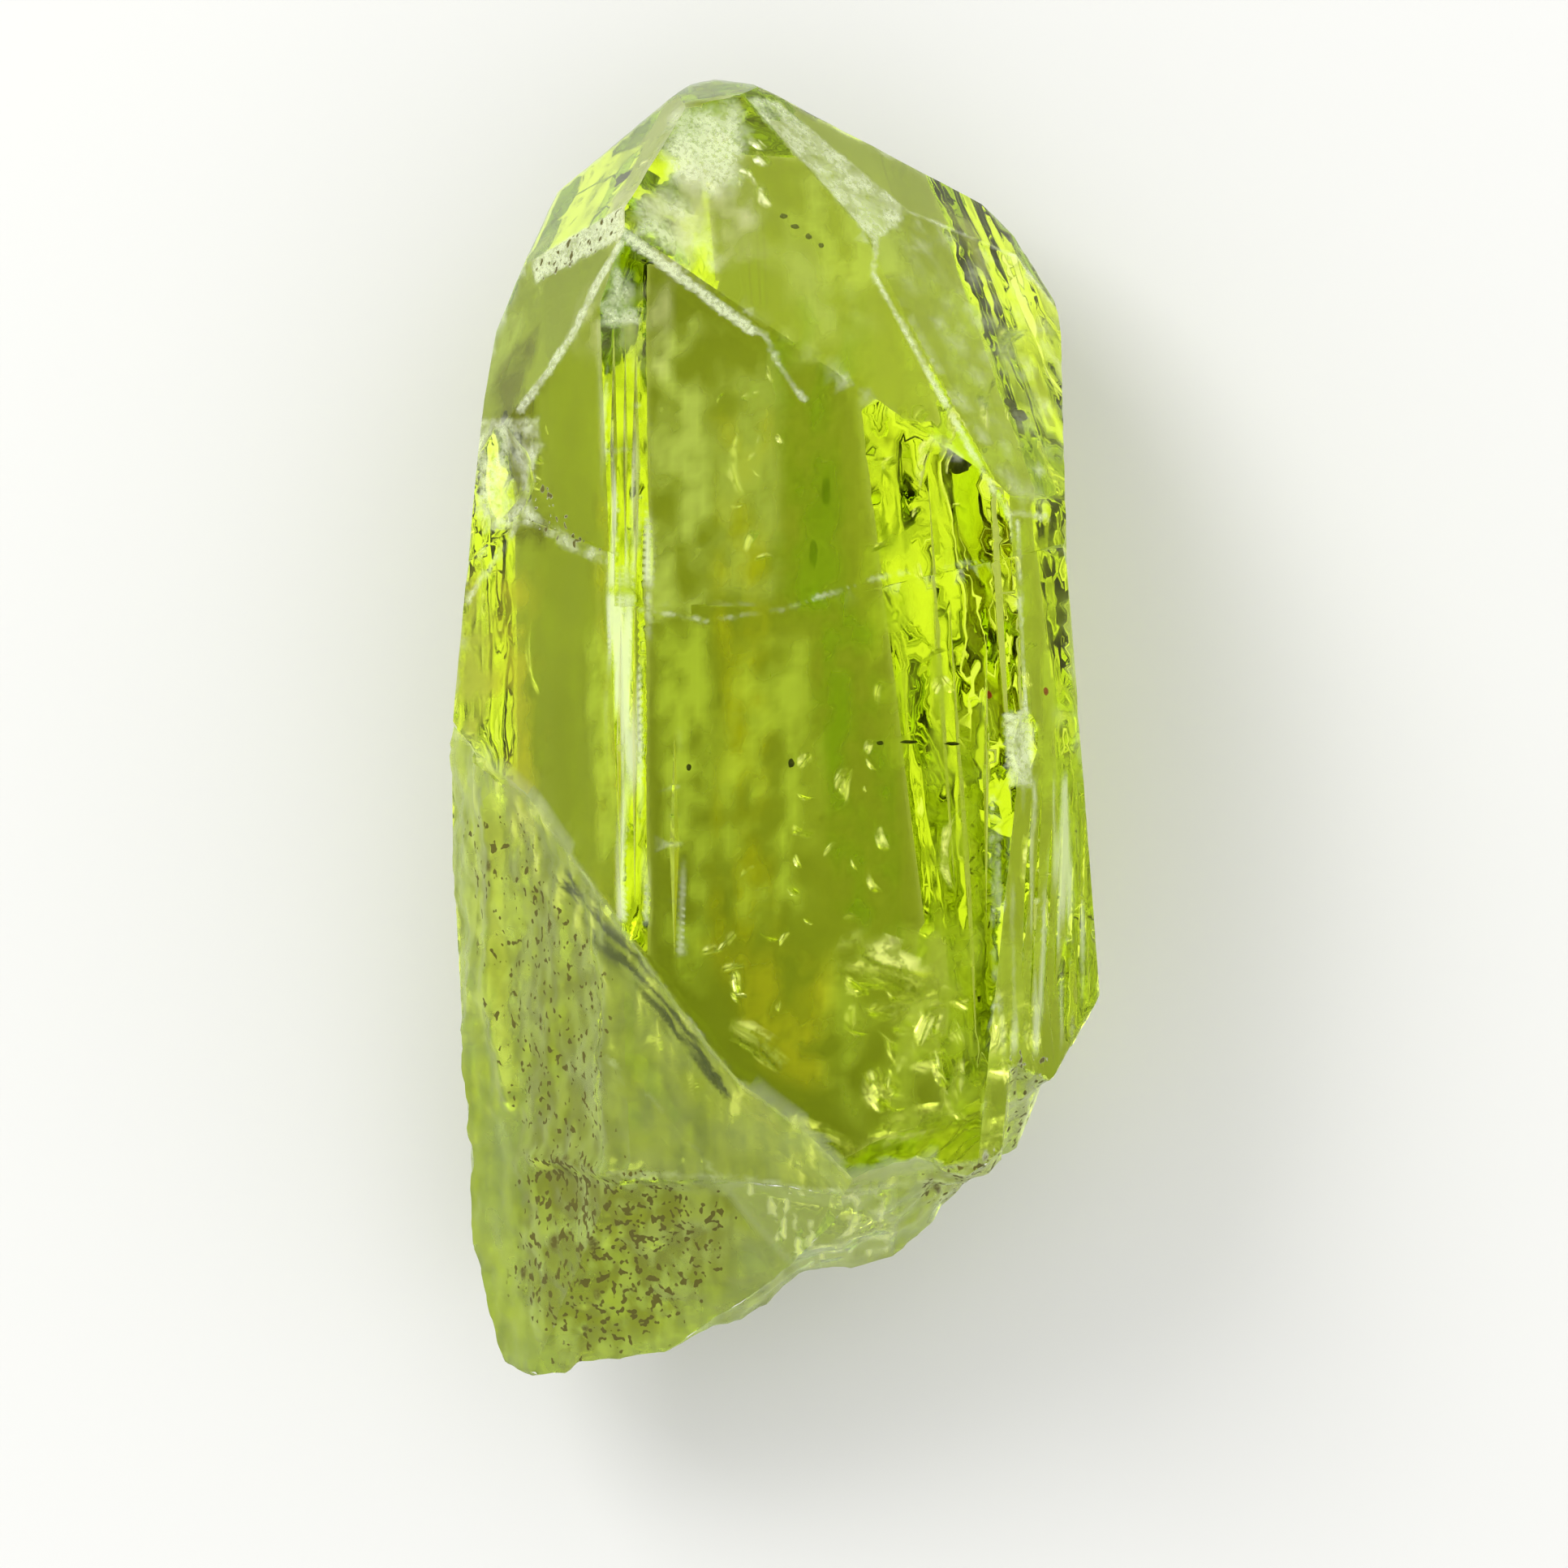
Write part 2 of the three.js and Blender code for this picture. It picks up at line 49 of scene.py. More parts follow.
CAMERA_PLACE = (0.226, -1.326, 308.1)
LENS = 300
SENSOR = 36
CLIP_RANGE = (10, 10000)
FLOOR_SIZE = 6000
FLOOR_GAP = 0.05
FLOOR_COLOUR = (0.70, 0.70, 0.68, 1)
FLOOR_ROUGHNESS = 0.9
SURROUND = 1.12  # brightness of the room
OVERHEAD = 0.05  # brightness of the dark patch straight above, which keeps the front face clear
DARK_OVERHEAD = (5, 11)  # degrees from straight up where that patch starts to fade and ends
BOUNCES = {"max_bounces": 9, "transmission_bounces": 9, "glossy_bounces": 5, "diffuse_bounces": 1}
# Lights, as [name, place, sizes, watts]
LIGHTS = [
    ["key", (-220, 200, 300), (200, 200), 0.8],
    ["fill", (270, 260, 150), (240, 240), 0.12],
]

# Fineness of the surface mesh, as the longest edge allowed in each kind of place

COARSE_FACET = 0.5
BREAK_FACET = 0.21
HIDDEN_BREAK_FACET = 0.28
LINE_FACET = 0.145
SPECK_FACET = 0.12
BREAK_MARGIN = 0.1
PATCH_MARGIN = 0.2
LINE_MARGIN = 0.1
LINE_REACH = 1.3  # in widths of the line
FAINT = 0.02
SPECKED = 0.2
MOST_HALVINGS = 14
WELD = 0.01
FLAT_ANGLE = math.radians(0.35)
SHARP_ANGLE = math.radians(24)

# Heights and places that part the crystal

BREAK_SEEN_ABOVE = 3
UPPER_SIDE_ABOVE = 4.5
BASE_START = -5
FINE_BASE_START = -6
FINE_BASE_TOP = 9.5
BREAK_START = 0.5
RESTING_BELOW = 0.05

# Optical values of the clear crystal

IOR = 1.68
ABSORPTION_COLOUR = (0.922, 0.987, 0.0, 1)
ABSORPTION_DENSITY = 150
REFLECTION_TINT = (0.8, 0.95, 0.1, 1)

# Colours of the surface

CLEAR = (0.97, 1.0, 0.86, 1)
MATTE = (0.15, 0.20, 0.0, 1)
MATTE_PALE = (0.38, 0.46, 0.0, 1)
LINED = (0.72, 0.80, 0.16, 1)
WHITE = (0.86, 0.92, 0.66, 1)
GREY = (0.04, 0.05, 0.025, 1)
DIRT = (0.07, 0.055, 0.015, 1)
STAIN = (0.20, 0.19, 0.02, 1)

# Frosted and lined places of the upper side, and one patch of painted light, as [outline or line seen from
# above, edge or width, strength]

SMALL_FROST = [
    [[(-0.73, 14.5), (2.31, 11.08), (3.17, 11.86), (0.11, 14.41)], 0.12, 0.72],
    [[(-3.4, 11.9), (-5.6, 10.75), (-5.5, 10.2), (-3.4, 11.15)], 0.12, 0.95],
    [
        [(-6.9, 7.1), (-5.4, 7.1), (-5.25, 6.4), (-5.6, 5.7), (-5.4, 4.6), (-6.7, 4.4), (-7.2, 5.5)],
        0.25,
        0.66,
    ],
    [[(5.23, 0.3), (5.75, 0.35), (5.95, -0.1), (5.9, -1.4), (5.3, -1.4)], 0.15, 0.8],
]
WIDE_FROST_AND_PAINTED_LIGHT = [
    [[(-2.5, 14.2), (-0.7, 14.3), (-0.6, 12.6), (-1.6, 12.0), (-2.6, 12.8)], 0.9, 0.95],
    [[(-3.3, 12.2), (-2.2, 12.4), (-1.0, 10.4), (-2.0, 10.3), (-3.2, 11.2)], 0.9, 0.7],
    [[(-3.6, 10.7), (-2.9, 9.1), (-4.0, 9.1)], 0.4, 0.75],
    # Painted light, not frost: this faint whitish patch covers the whole right facet of the tip to make it
    # look pale and bright.
    [[(2.37, 11.5), (3.17, 11.86), (5.61, 10.9), (6.53, 9.7), (6.3, 4.8), (5.33, 4.85)], 0.3, 0.42],
]
FROST_LINES = [
    [[(-3.4, 11.19), (-1.92, 10.06), (-0.51, 9.01)], 0.2, 1.0],
    [[(-0.51, 9.05), (-0.2, 8.9), (0.11, 8.21), (0.67, 7.44)], 0.12, 0.62],
    [[(-3.49, 10.97), (-4.07, 10.04), (-4.54, 9.05), (-5.12, 8.18), (-5.84, 7.25)], 0.16, 0.8],
    [[(-5.4, 4.7), (-4.71, 4.2), (-3.77, 3.78)], 0.3, 0.62],
    [[(-5.81, 4.71), (-6.41, 3.82), (-7.14, 2.82)], 0.12, 0.62],
    [[(-3.58, 2.76), (-1.55, 2.39), (0.28, 2.67), (2.35, 3.37), (5.48, 3.87)], 0.07, 0.5],
    [[(2.37, 11.51), (2.27, 10.37), (3.36, 8.36), (4.44, 6.35), (5.33, 4.85), (6.23, 4.79)], 0.12, 0.72],
    [[(3.17, 11.86), (5.61, 10.91), (6.53, 9.7)], 0.08, 0.6],
    [[(5.57, 4.71), (5.62, 2.48), (5.76, -0.1)], 0.09, 0.66],
    [[(4.96, -1.58), (5.01, -5.28), (5.22, -7.32)], 0.08, 0.5],
    [
        [(-3.55, -10.17), (-1.15, -10.27), (1.02, -10.65), (2.65, -10.48), (3.86, -10.38), (4.72, -9.92)],
        0.1,
        0.62,
    ],
    [[(-3.65, -7.49), (-1.26, -10.21)], 0.1, 0.4],
]
STREAK_PATCHES = [
    [[(-3.95, 9.2), (-2.75, 9.2), (-2.75, 3.2), (-3.75, 3.2)], 0.3, 0.95],
    [[(-3.9, 3.0), (-2.85, 3.0), (-2.85, -4.5), (-3.55, -4.4)], 0.25, 0.9],
    [[(-2.33, 0), (-1.96, 0), (-1.92, -5.2), (-2.25, -5.2)], 0.2, 0.75],
    [[(5.2, -1.2), (7.1, -1.2), (7.5, -6.15), (6.5, -7.4), (5.3, -7.4), (5.05, -5.28)], 0.5, 0.72],
]

# The break at the foot: its upper edge, its floor and what lies on it

SCARP = [
    (-7.24, -0.2), (-5.52, -1.74), (-3.53, -4.54), (-2.01, -6.73),
    (-0.92, -8.02), (0.6, -9.11), (1.89, -10.41),
]
SCARP_WIDTH = 1.05
BREAK_FLOOR = [*SCARP, (4.72, -9.92), (5.5, -9.8), (6.5, -16), (-9, -16), (-9, -0.2)]
BREAK_EDGE = 0.15
GREY_STREAK = [[(-4.72, -3.55), (-3.6, -4.95), (-2.2, -6.95), (-1.1, -8.3)], 0.42, 1.0]
GLOSSY_PATCH = [
    [(-1.3, -10.4), (1.0, -10.7), (2.7, -10.55), (2.75, -12.2), (0.6, -12.5), (-0.1, -11.8)],
    0.3,
    1.0,
]
# Low ridges on the break, as [line, height]
BREAK_RIDGES = [
    [[(-3.9, -4.9), (-3.65, -5.85), (-3.75, -7.6), (-3.66, -10.14)], 0.2],
    [[(-6.7, -0.4), (-6.45, -3.2), (-6.5, -6.0), (-6.1, -8.6)], 0.2],
    [[(-3.6, -7.49), (-2.2, -9.2), (-1.26, -10.21)], 0.14],
    [[(-5.4, -9.9), (-3.6, -10.2), (-1.6, -10.1)], 0.2],
    [[(-5.0, -3.4), (-4.9, -6.2), (-5.3, -8.4)], 0.1],
]
RIDGE_BREADTH = 0.22

# Dirt, as [outline, edge, strength], and blotches of it, as [middle, radius]

BREAK_DIRT = [
    [
        [
            (-5.7, -9.84), (-4.7, -9.5), (-2.9, -10.3), (-1, -10.9),
            (-1.2, -12.4), (-2.5, -14), (-4.8, -14.8), (-5.9, -13.2),
        ],
        1.2,
        0.95,
    ],
    [[(-7.1, -2), (-5.9, -2.1), (-3.6, -5.7), (-3.6, -10.1), (-5.7, -9.8), (-6.6, -6.7)], 0.8, 0.55],
]
SMALL_DIRT = [
    [[(-3.4, 11.9), (-5.6, 10.75), (-5.5, 10.2), (-3.4, 11.15)], 0.15, 0.66],
    [[(-5.5, 5.9), (-5.2, 5.5), (-4.5, 4.5), (-3.8, 3.9), (-4.6, 3.9), (-5.8, 4.9)], 0.3, 0.55],
    [[(5.37, -7.38), (6.34, -7.53), (6.02, -8.71), (5.57, -9.77), (5.36, -9.64)], 0.3, 0.6],
    [[(3.4, -10.2), (4.9, -9.7), (5.4, -9.9), (4, -11), (3.4, -10.9)], 0.3, 0.7],
]
DIRT_BLOTCHES = [
    [(-6.44, -3.18), 0.22], [(-4.74, -10.18), 0.25], [(-5.04, -11.89), 0.22], [(-4.18, -11.95), 0.3],
    [(-5.81, -12.68), 0.16], [(-4.65, -9.9), 0.2], [(-4.1, -13.1), 0.24], [(-4.39, -13.96), 0.2],
    [(6.14, 9.49), 0.08], [(4.83, -9.82), 0.12], [(3.75, -10.62), 0.12],
]
BLOTCH_STRETCH = (1, 0.7)

# Patterns of smooth noise on the surface, as [size, seed, layers, squeeze along x, y and z]

PATTERNS = {
    "cloudy": [1.4, 2, 3, (1, 1, 1)],
    "mottled": [1.1, 23, 4, (1, 1, 1)],
    "lined": [0.8, 27, 3, (3.5, 0.5, 1)],
    "pitted": [0.6, 5, 3, (1, 1, 1)],
    "combed": [0.8, 13, 3, (4, 0.6, 1)],
    "ragged": [0.45, 11, 3, (1, 1, 1)],
    "threads": [0.9, 17, 2, (4.5, 0.22, 1)],
    "swells": [1.5, 7, 3, (1, 0.3, 1)],
    "ripples": [1.1, 8, 1, (1, 0.4, 1)],
    "sugar": [0.2, 21, 1, (1, 1, 1)],
    "wear": [0.5, 1, 1, (1, 1, 1)],
    "large_lumps": [1.6, 4, 1, (1, 1, 1)],
    "middle_lumps": [0.6, 5, 1, (1, 1, 1)],
    "small_lumps": [0.25, 9, 1, (1, 1, 1)],
}
GREY_SLANT = [[3.0, 0.3, 0], [2.64, -0.34, 0], [0, 0, 1]]
GREY_SIZE = 0.6
GREY_SEED = 29

# Heights of the relief that the patterns give

BREAK_RELIEF = {"large_lumps": 0.12, "middle_lumps": 0.07, "small_lumps": 0.03}
SCARP_RELIEF = 0.07
BACK_RELIEF = 0.06
RIPPLE_RELIEF = 0.004
FROST_AND_PAINTED_LIGHT_RELIEF = 0.018
STREAK_RELIEF = 0.02
WEAR = 0.3  # share of the way that a worn edge moves towards its neighbours

# Ranges over which a share rises from 0 to 1

FACES_UP = (0.02, 0.15)
FACES_WELL_UP = (0.1, 0.3)
FACES_DOWN = (0.1, 0.4)
FACES_FOOT = (0.35, 0.6)
LINE_FADE = (0.3, 0.9)
SCARP_FADE = (0.7, 1.15)
BLOTCH_FADE = (0.2, 0.7)
EDGE_BEND = (0.004, 0.02)
PIT_RANGE = (-0.3, 0.6)
MOTTLE_RANGE = (-0.8, 0.5)
SCARP_RANGE = (-0.1, 0.4)
GLOSS_RANGE = (0.05, 0.35)
FROST_AND_PAINTED_LIGHT_RANGE = (0.35, 1.0)
WORN_RANGE = (-0.1, 0.5)
STREAK_RANGE = (0.05, 0.4)
GREY_RANGE = (-0.25, 0.15)

# Shares in which the masks are mixed

MATTE_MEAN = 0.85
MATTE_SWING = 0.15
BASE_MATTE = 0.85
GLOSS_CLEARS = 0.75
MOTTLE_LARGE = 0.6
MOTTLE_LINED = 0.7
MOTTLE_PITS = 0.5
FROST_AND_PAINTED_LIGHT_RAGGED = 0.5
EDGE_FROST = 0.6
BLOTCH_RAGGED = 0.6

NOISE_TURN = np.array(Matrix.Rotation(0.6, 3, Vector((1, 2, 3))))
NOISE_OFFSET = 0.37
NOISE_SLOPES = 4096
NOISE_GAIN = 1.6
CORNER_PRIMES = np.array([73856093, 19349663, 83492791])


def smooth(value, low, high):
    share = np.clip((value - low) / (high - low), 0, 1)
    return share * share * (3 - 2 * share)


def line_distance(places, line):
    """Distance from each place to a bent line, seen from above."""
    nearest = np.full(len(places), np.inf)
    for start, end in zip(line[:-1], line[1:]):
        start = np.array(start)
        along = np.array(end) - start
        share = np.clip((places - start) @ along / (along @ along), 0, 1)
        gap = np.linalg.norm(places - start - share[:, None] * along, axis=1)
        nearest = np.minimum(nearest, gap)
    return nearest


def line_cover(places, line, width, fade):
    """1 on the line and 0 far from it, fading between these two shares of the width."""
    return 1 - smooth(line_distance(places, line), width * fade[0], width * fade[1])


def patch_cover(places, outline, edge):
    """1 well inside the outline and 0 well outside, changing over a width of edge."""
    inside = np.zeros(len(places), bool)
    x, y = places.T
    for (x0, y0), (x1, y1) in zip(outline, outline[1:] + outline[:1]):
        if y0 == y1:
            continue
        inside ^= ((y0 > y) != (y1 > y)) & (x < x0 + (y - y0) * (x1 - x0) / (y1 - y0))
    gap = line_distance(places, outline + outline[:1])
    return smooth(np.where(inside, gap, -gap), -edge / 2, edge / 2)


def cover_of(places, patches, lines=()):
    """The strongest cover that the patches and lines give each place."""
    cover = np.zeros(len(places))
    for outline, edge, strength in patches:
        cover = np.maximum(cover, strength * patch_cover(places, outline, edge))
    for line, width, strength in lines:
        cover = np.maximum(cover, strength * line_cover(places, line, width, LINE_FADE))
    return cover


def noise_at(points, size, seed=0):
    """Smooth noise between about -1 and 1, with lumps of about this size."""
    slopes = np.random.default_rng(seed).normal(size=(NOISE_SLOPES, 3))
    slopes /= np.linalg.norm(slopes, axis=1)[:, None]
    scaled = np.asarray(points) @ NOISE_TURN / size + NOISE_OFFSET
    corner = np.floor(scaled).astype(np.int64)
    inner = scaled - corner
    fade = inner * inner * inner * (inner * (inner * 6 - 15) + 10)
    total = np.zeros(len(scaled))
    for dx, dy, dz in np.ndindex(2, 2, 2):
        step = np.array([dx, dy, dz])
        key = ((corner + step) * CORNER_PRIMES).sum(1) % NOISE_SLOPES
        weight = np.prod(np.where(step == 1, fade, 1 - fade), axis=1)
        total += weight * ((inner - step) * slopes[key]).sum(1)
    return total * NOISE_GAIN


def layered_noise(points, size, seed=0, layers=3):
    """Noise in layers, each half as large and half as strong as the one before."""
    total = sum(noise_at(points, size / 2 ** i, seed + i) / 2 ** i for i in range(layers))
    return total / (2 - 2.0 ** (1 - layers))


def keys_of(a, b):
    """One whole number for each pair of points, whichever comes first."""
    return np.minimum(a, b).astype(np.int64) * (1 << 32) + np.maximum(a, b)


def split_long_edges(points, triangles, allowed):
    """Halves each triangle's longest edge until it is no longer than allowed at its middle."""
    for _ in range(MOST_HALVINGS):
        corners = points[triangles]
        sides = np.linalg.norm(corners[:, [1, 2, 0]] - corners, axis=2)
        long = sides.max(1) > allowed(corners.mean(1))
        if not long.any():
            break
        widest = sides.argmax(1)
        turned = np.stack([np.roll(triangles, -shift, axis=1) for shift in range(3)], axis=1)
        triangles = turned[np.arange(len(triangles)), widest]
        split = np.unique(np.sort(triangles[long][:, :2], axis=1), axis=0)
        keys = keys_of(split[:, 0], split[:, 1])
        order = np.argsort(keys)
        keys, split = keys[order], split[order]
        count = len(points)
        points = np.concatenate([points, (points[split[:, 0]] + points[split[:, 1]]) / 2])
        a, b, c = triangles.T
        middles = []
        for first, second in ((a, b), (b, c), (c, a)):
            wanted = keys_of(first, second)
            place = np.searchsorted(keys, wanted).clip(0, len(keys) - 1)
            middles.append(np.where(keys[place] == wanted, count + place, -1))
        triangles = joined_halves(triangles, middles)
    return points, triangles


def joined_halves(triangles, middles):
    """The triangles with the middles of their split edges, where -1 is an edge that stays whole."""
    a, b, c = triangles.T
    ab, bc, ca = middles
    made = []
    for case in range(8):
        has = [bool(case & 1), bool(case & 2), bool(case & 4)]
        pick = ((ab >= 0) == has[0]) & ((bc >= 0) == has[1]) & ((ca >= 0) == has[2])
        if not pick.any():
            continue
        ring = [(a, True), (ab, has[0]), (b, True), (bc, has[1]), (c, True), (ca, has[2])]
        ring = [values[pick] for values, there in ring if there]
        hub = 0
        if any(has):
            hub = 1 if has[0] else (2 if has[1] else 3)
        ring = ring[hub:] + ring[:hub]
        for first, second in zip(ring[1:-1], ring[2:]):
            made.append(np.stack([ring[0], first, second], axis=1))
    return np.concatenate(made)


def point_normals(points, triangles):
    a, b, c = (points[triangles[:, i]] for i in range(3))
    across = np.cross(b - a, c - a)
    normals = np.zeros_like(points)
    for i in range(3):
        np.add.at(normals, triangles[:, i], across)
    return normals / np.maximum(np.linalg.norm(normals, axis=1), 1e-12)[:, None]


def neighbours_mean(points, triangles):
    total = np.zeros_like(points)
    count = np.zeros(len(points))
    for i, j in ((0, 1), (1, 2), (2, 0), (1, 0), (2, 1), (0, 2)):
        np.add.at(total, triangles[:, i], points[triangles[:, j]])
        np.add.at(count, triangles[:, i], 1)
    return total / count[:, None]


def welded_solid():
    """The solid's points and triangles, with its flat faces joined before they are divided."""
    welded = bmesh.new()
    welded.from_mesh(CAD_CRYSTAL.data)
    bmesh.ops.remove_doubles(welded, verts=welded.verts, dist=WELD * MM)
    bmesh.ops.dissolve_degenerate(welded, edges=welded.edges, dist=WELD * MM)
    bmesh.ops.dissolve_limit(welded, angle_limit=FLAT_ANGLE, verts=welded.verts, edges=welded.edges)
    bmesh.ops.triangulate(welded, faces=welded.faces)
    welded.verts.index_update()
    points = np.array([v.co for v in welded.verts]) / MM
    triangles = np.array([[v.index for v in f.verts] for f in welded.faces])
    welded.free()
    return points, triangles


def allowed_edge(middles):
    """The longest edge allowed for a triangle with its middle at each of these points."""
    places = middles[:, :2]
    height = middles[:, 2]
    allowed = np.full(len(places), COARSE_FACET)
    low_part = places[:, 1] < 0
    broken = np.zeros(len(places), bool)
    broken[low_part] = patch_cover(places[low_part], BREAK_FLOOR, BREAK_MARGIN) > 0.5
    broken |= (places[:, 1] < FINE_BASE_START) & (height < FINE_BASE_TOP)
    seen = broken & (height > BREAK_SEEN_ABOVE)
    allowed[broken] = HIDDEN_BREAK_FACET
    allowed[seen] = BREAK_FACET
    upper = height > UPPER_SIDE_ABOVE
    near = np.zeros(len(places), bool)
    for line, width, _ in [*FROST_LINES, GREY_STREAK]:
        near[upper] |= line_distance(places[upper], line) < width * LINE_REACH + LINE_MARGIN
    for outline, edge, _ in [*SMALL_FROST, *STREAK_PATCHES, *SMALL_DIRT]:
        near[upper] |= patch_cover(places[upper], outline, edge + PATCH_MARGIN) > FAINT
    allowed[near] = LINE_FACET
    specked = cover_of(places[seen], BREAK_DIRT) > SPECKED
    allowed[seen] = np.where(specked, SPECK_FACET, allowed[seen])
    return allowed


def surface_patterns(points):
    made = {}
    for name, (size, seed, layers, squeeze) in PATTERNS.items():
        made[name] = layered_noise(points * np.array(squeeze), size, seed, layers)
    return made


def broken_places(points, normals):
    """Cover of the stepped base, of the break's floor, and of the scarp along the floor's upper edge."""
    places = points[:, :2]
    base = smooth(-normals[:, 1], *FACES_FOOT) * (points[:, 1] < BASE_START)
    floor = patch_cover(places, BREAK_FLOOR, BREAK_EDGE) * smooth(normals[:, 2], *FACES_WELL_UP)
    floor = floor * (points[:, 1] < BREAK_START)
    scarp = floor * line_cover(places, SCARP, SCARP_WIDTH, SCARP_FADE)
    return base, floor, scarp


def blotch_cover(places, ragged):
    cover = np.zeros(len(places))
    for middle, radius in DIRT_BLOTCHES:
        gap = np.linalg.norm((places - np.array(middle)) * BLOTCH_STRETCH, axis=1)
        gap += BLOTCH_RAGGED * radius * ragged
        cover = np.maximum(cover, 1 - smooth(gap, radius * BLOTCH_FADE[0], radius * BLOTCH_FADE[1]))
    return cover


def surface_masks(points, normals, patterns, base, floor, scarp):
    """Where the surface is matte, lined, frosted, painted pale, streaked and dirty, each from 0 to 1."""
    places = points[:, :2]
    up = smooth(normals[:, 2], *FACES_UP)
    combed, ragged = patterns["combed"], patterns["ragged"]
    glossy = cover_of(places, [GLOSSY_PATCH]) * floor
    matte = np.maximum(floor, BASE_MATTE * base) * (MATTE_MEAN + MATTE_SWING * patterns["cloudy"])
    pits = smooth(-patterns["pitted"], *PIT_RANGE)
    mottle = MOTTLE_LARGE * patterns["mottled"] + MOTTLE_LINED * patterns["lined"] - MOTTLE_PITS * pits
    # The frost cover also holds the painted light that whitens the right facet of the tip.
    frost_and_painted_light = cover_of(places, SMALL_FROST + WIDE_FROST_AND_PAINTED_LIGHT, FROST_LINES) + FROST_AND_PAINTED_LIGHT_RAGGED * ragged
    streak = smooth(patterns["threads"], *STREAK_RANGE) * cover_of(places, STREAK_PATCHES)
    slanted = layered_noise(points @ np.array(GREY_SLANT), GREY_SIZE, GREY_SEED)
    grey = smooth(slanted, *GREY_RANGE) * cover_of(places, [], [GREY_STREAK])
    lines_on_scarp = scarp * smooth(combed, *SCARP_RANGE)
    lines_on_gloss = glossy * smooth(combed, *GLOSS_RANGE)
    return {
        "matte": matte * (1 - GLOSS_CLEARS * glossy),
        "mottle": smooth(mottle, *MOTTLE_RANGE),
        "scarp": np.maximum(lines_on_scarp, lines_on_gloss),
        "frost_and_painted_light": smooth(frost_and_painted_light, *FROST_AND_PAINTED_LIGHT_RANGE) * up,
        "streak": streak * up,
        "grey": grey * up,
        "dirt": cover_of(places, BREAK_DIRT + SMALL_DIRT) * up,
        "blotch": blotch_cover(places, ragged) * up,
    }


def ridge_height(places):
    """Height of the low ridges on the break, each falling away on both sides of its line."""
    total = np.zeros(len(places))
    for line, height in BREAK_RIDGES:
        total += height * np.exp(-(line_distance(places, line) / RIDGE_BREADTH) ** 2)
    return total


def shaped_crystal():
    """The solid's surface, finely divided, with rough breaks and worn edges, and its masks."""
    points, triangles = split_long_edges(*welded_solid(), allowed_edge)
    normals = point_normals(points, triangles)
    patterns = surface_patterns(points)
    base, floor, scarp = broken_places(points, normals)
    masks = surface_masks(points, normals, patterns, base, floor, scarp)

    broken = np.maximum(floor, base)
    pull = neighbours_mean(points, triangles) - points
    edge = smooth(np.abs((pull * normals).sum(1)), *EDGE_BEND) * (1 - broken)
    edge_frost = EDGE_FROST * edge * smooth(patterns["ragged"], *WORN_RANGE)
    masks["frost_and_painted_light"] = np.maximum(masks["frost_and_painted_light"], edge_frost)
    worn = points + (WEAR + WEAR * patterns["wear"])[:, None] * edge[:, None] * pull

    rough = sum(height * patterns[name] for name, height in BREAK_RELIEF.items())
    rough = rough + SCARP_RELIEF * patterns["combed"] * scarp + ridge_height(points[:, :2])
    back = smooth(-normals[:, 2], *FACES_DOWN) * (points[:, 2] > RESTING_BELOW)
    faces = BACK_RELIEF * patterns["swells"] * back + RIPPLE_RELIEF * patterns["ripples"]
    faces += FROST_AND_PAINTED_LIGHT_RELIEF * patterns["sugar"] * masks["frost_and_painted_light"]
    faces += STREAK_RELIEF * patterns["threads"] * masks["streak"]
    shift = broken * rough + (1 - broken) * (1 - edge) * faces
    points = worn + shift[:, None] * normals
    points[:, 2] = np.maximum(points[:, 2], 0)
    return points, triangles, masks


def object_from(name, points, faces, masks=None):
    mesh = bpy.data.meshes.new(name)
    mesh.from_pydata((np.asarray(points) * MM).tolist(), [], [list(map(int, f)) for f in faces])
    for mask, values in (masks or {}).items():
        attribute = mesh.attributes.new(mask, "FLOAT", "POINT")
        attribute.data.foreach_set("value", np.asarray(values, np.float32))
    mesh.update()
    obj = bpy.data.objects.new(name, mesh)
    bpy.context.scene.collection.objects.link(obj)
    return obj


def shade_smooth(obj):
    for face in obj.data.polygons:
        face.use_smooth = True


# Shader building blocks. A socket or a plain number can be given for every input.

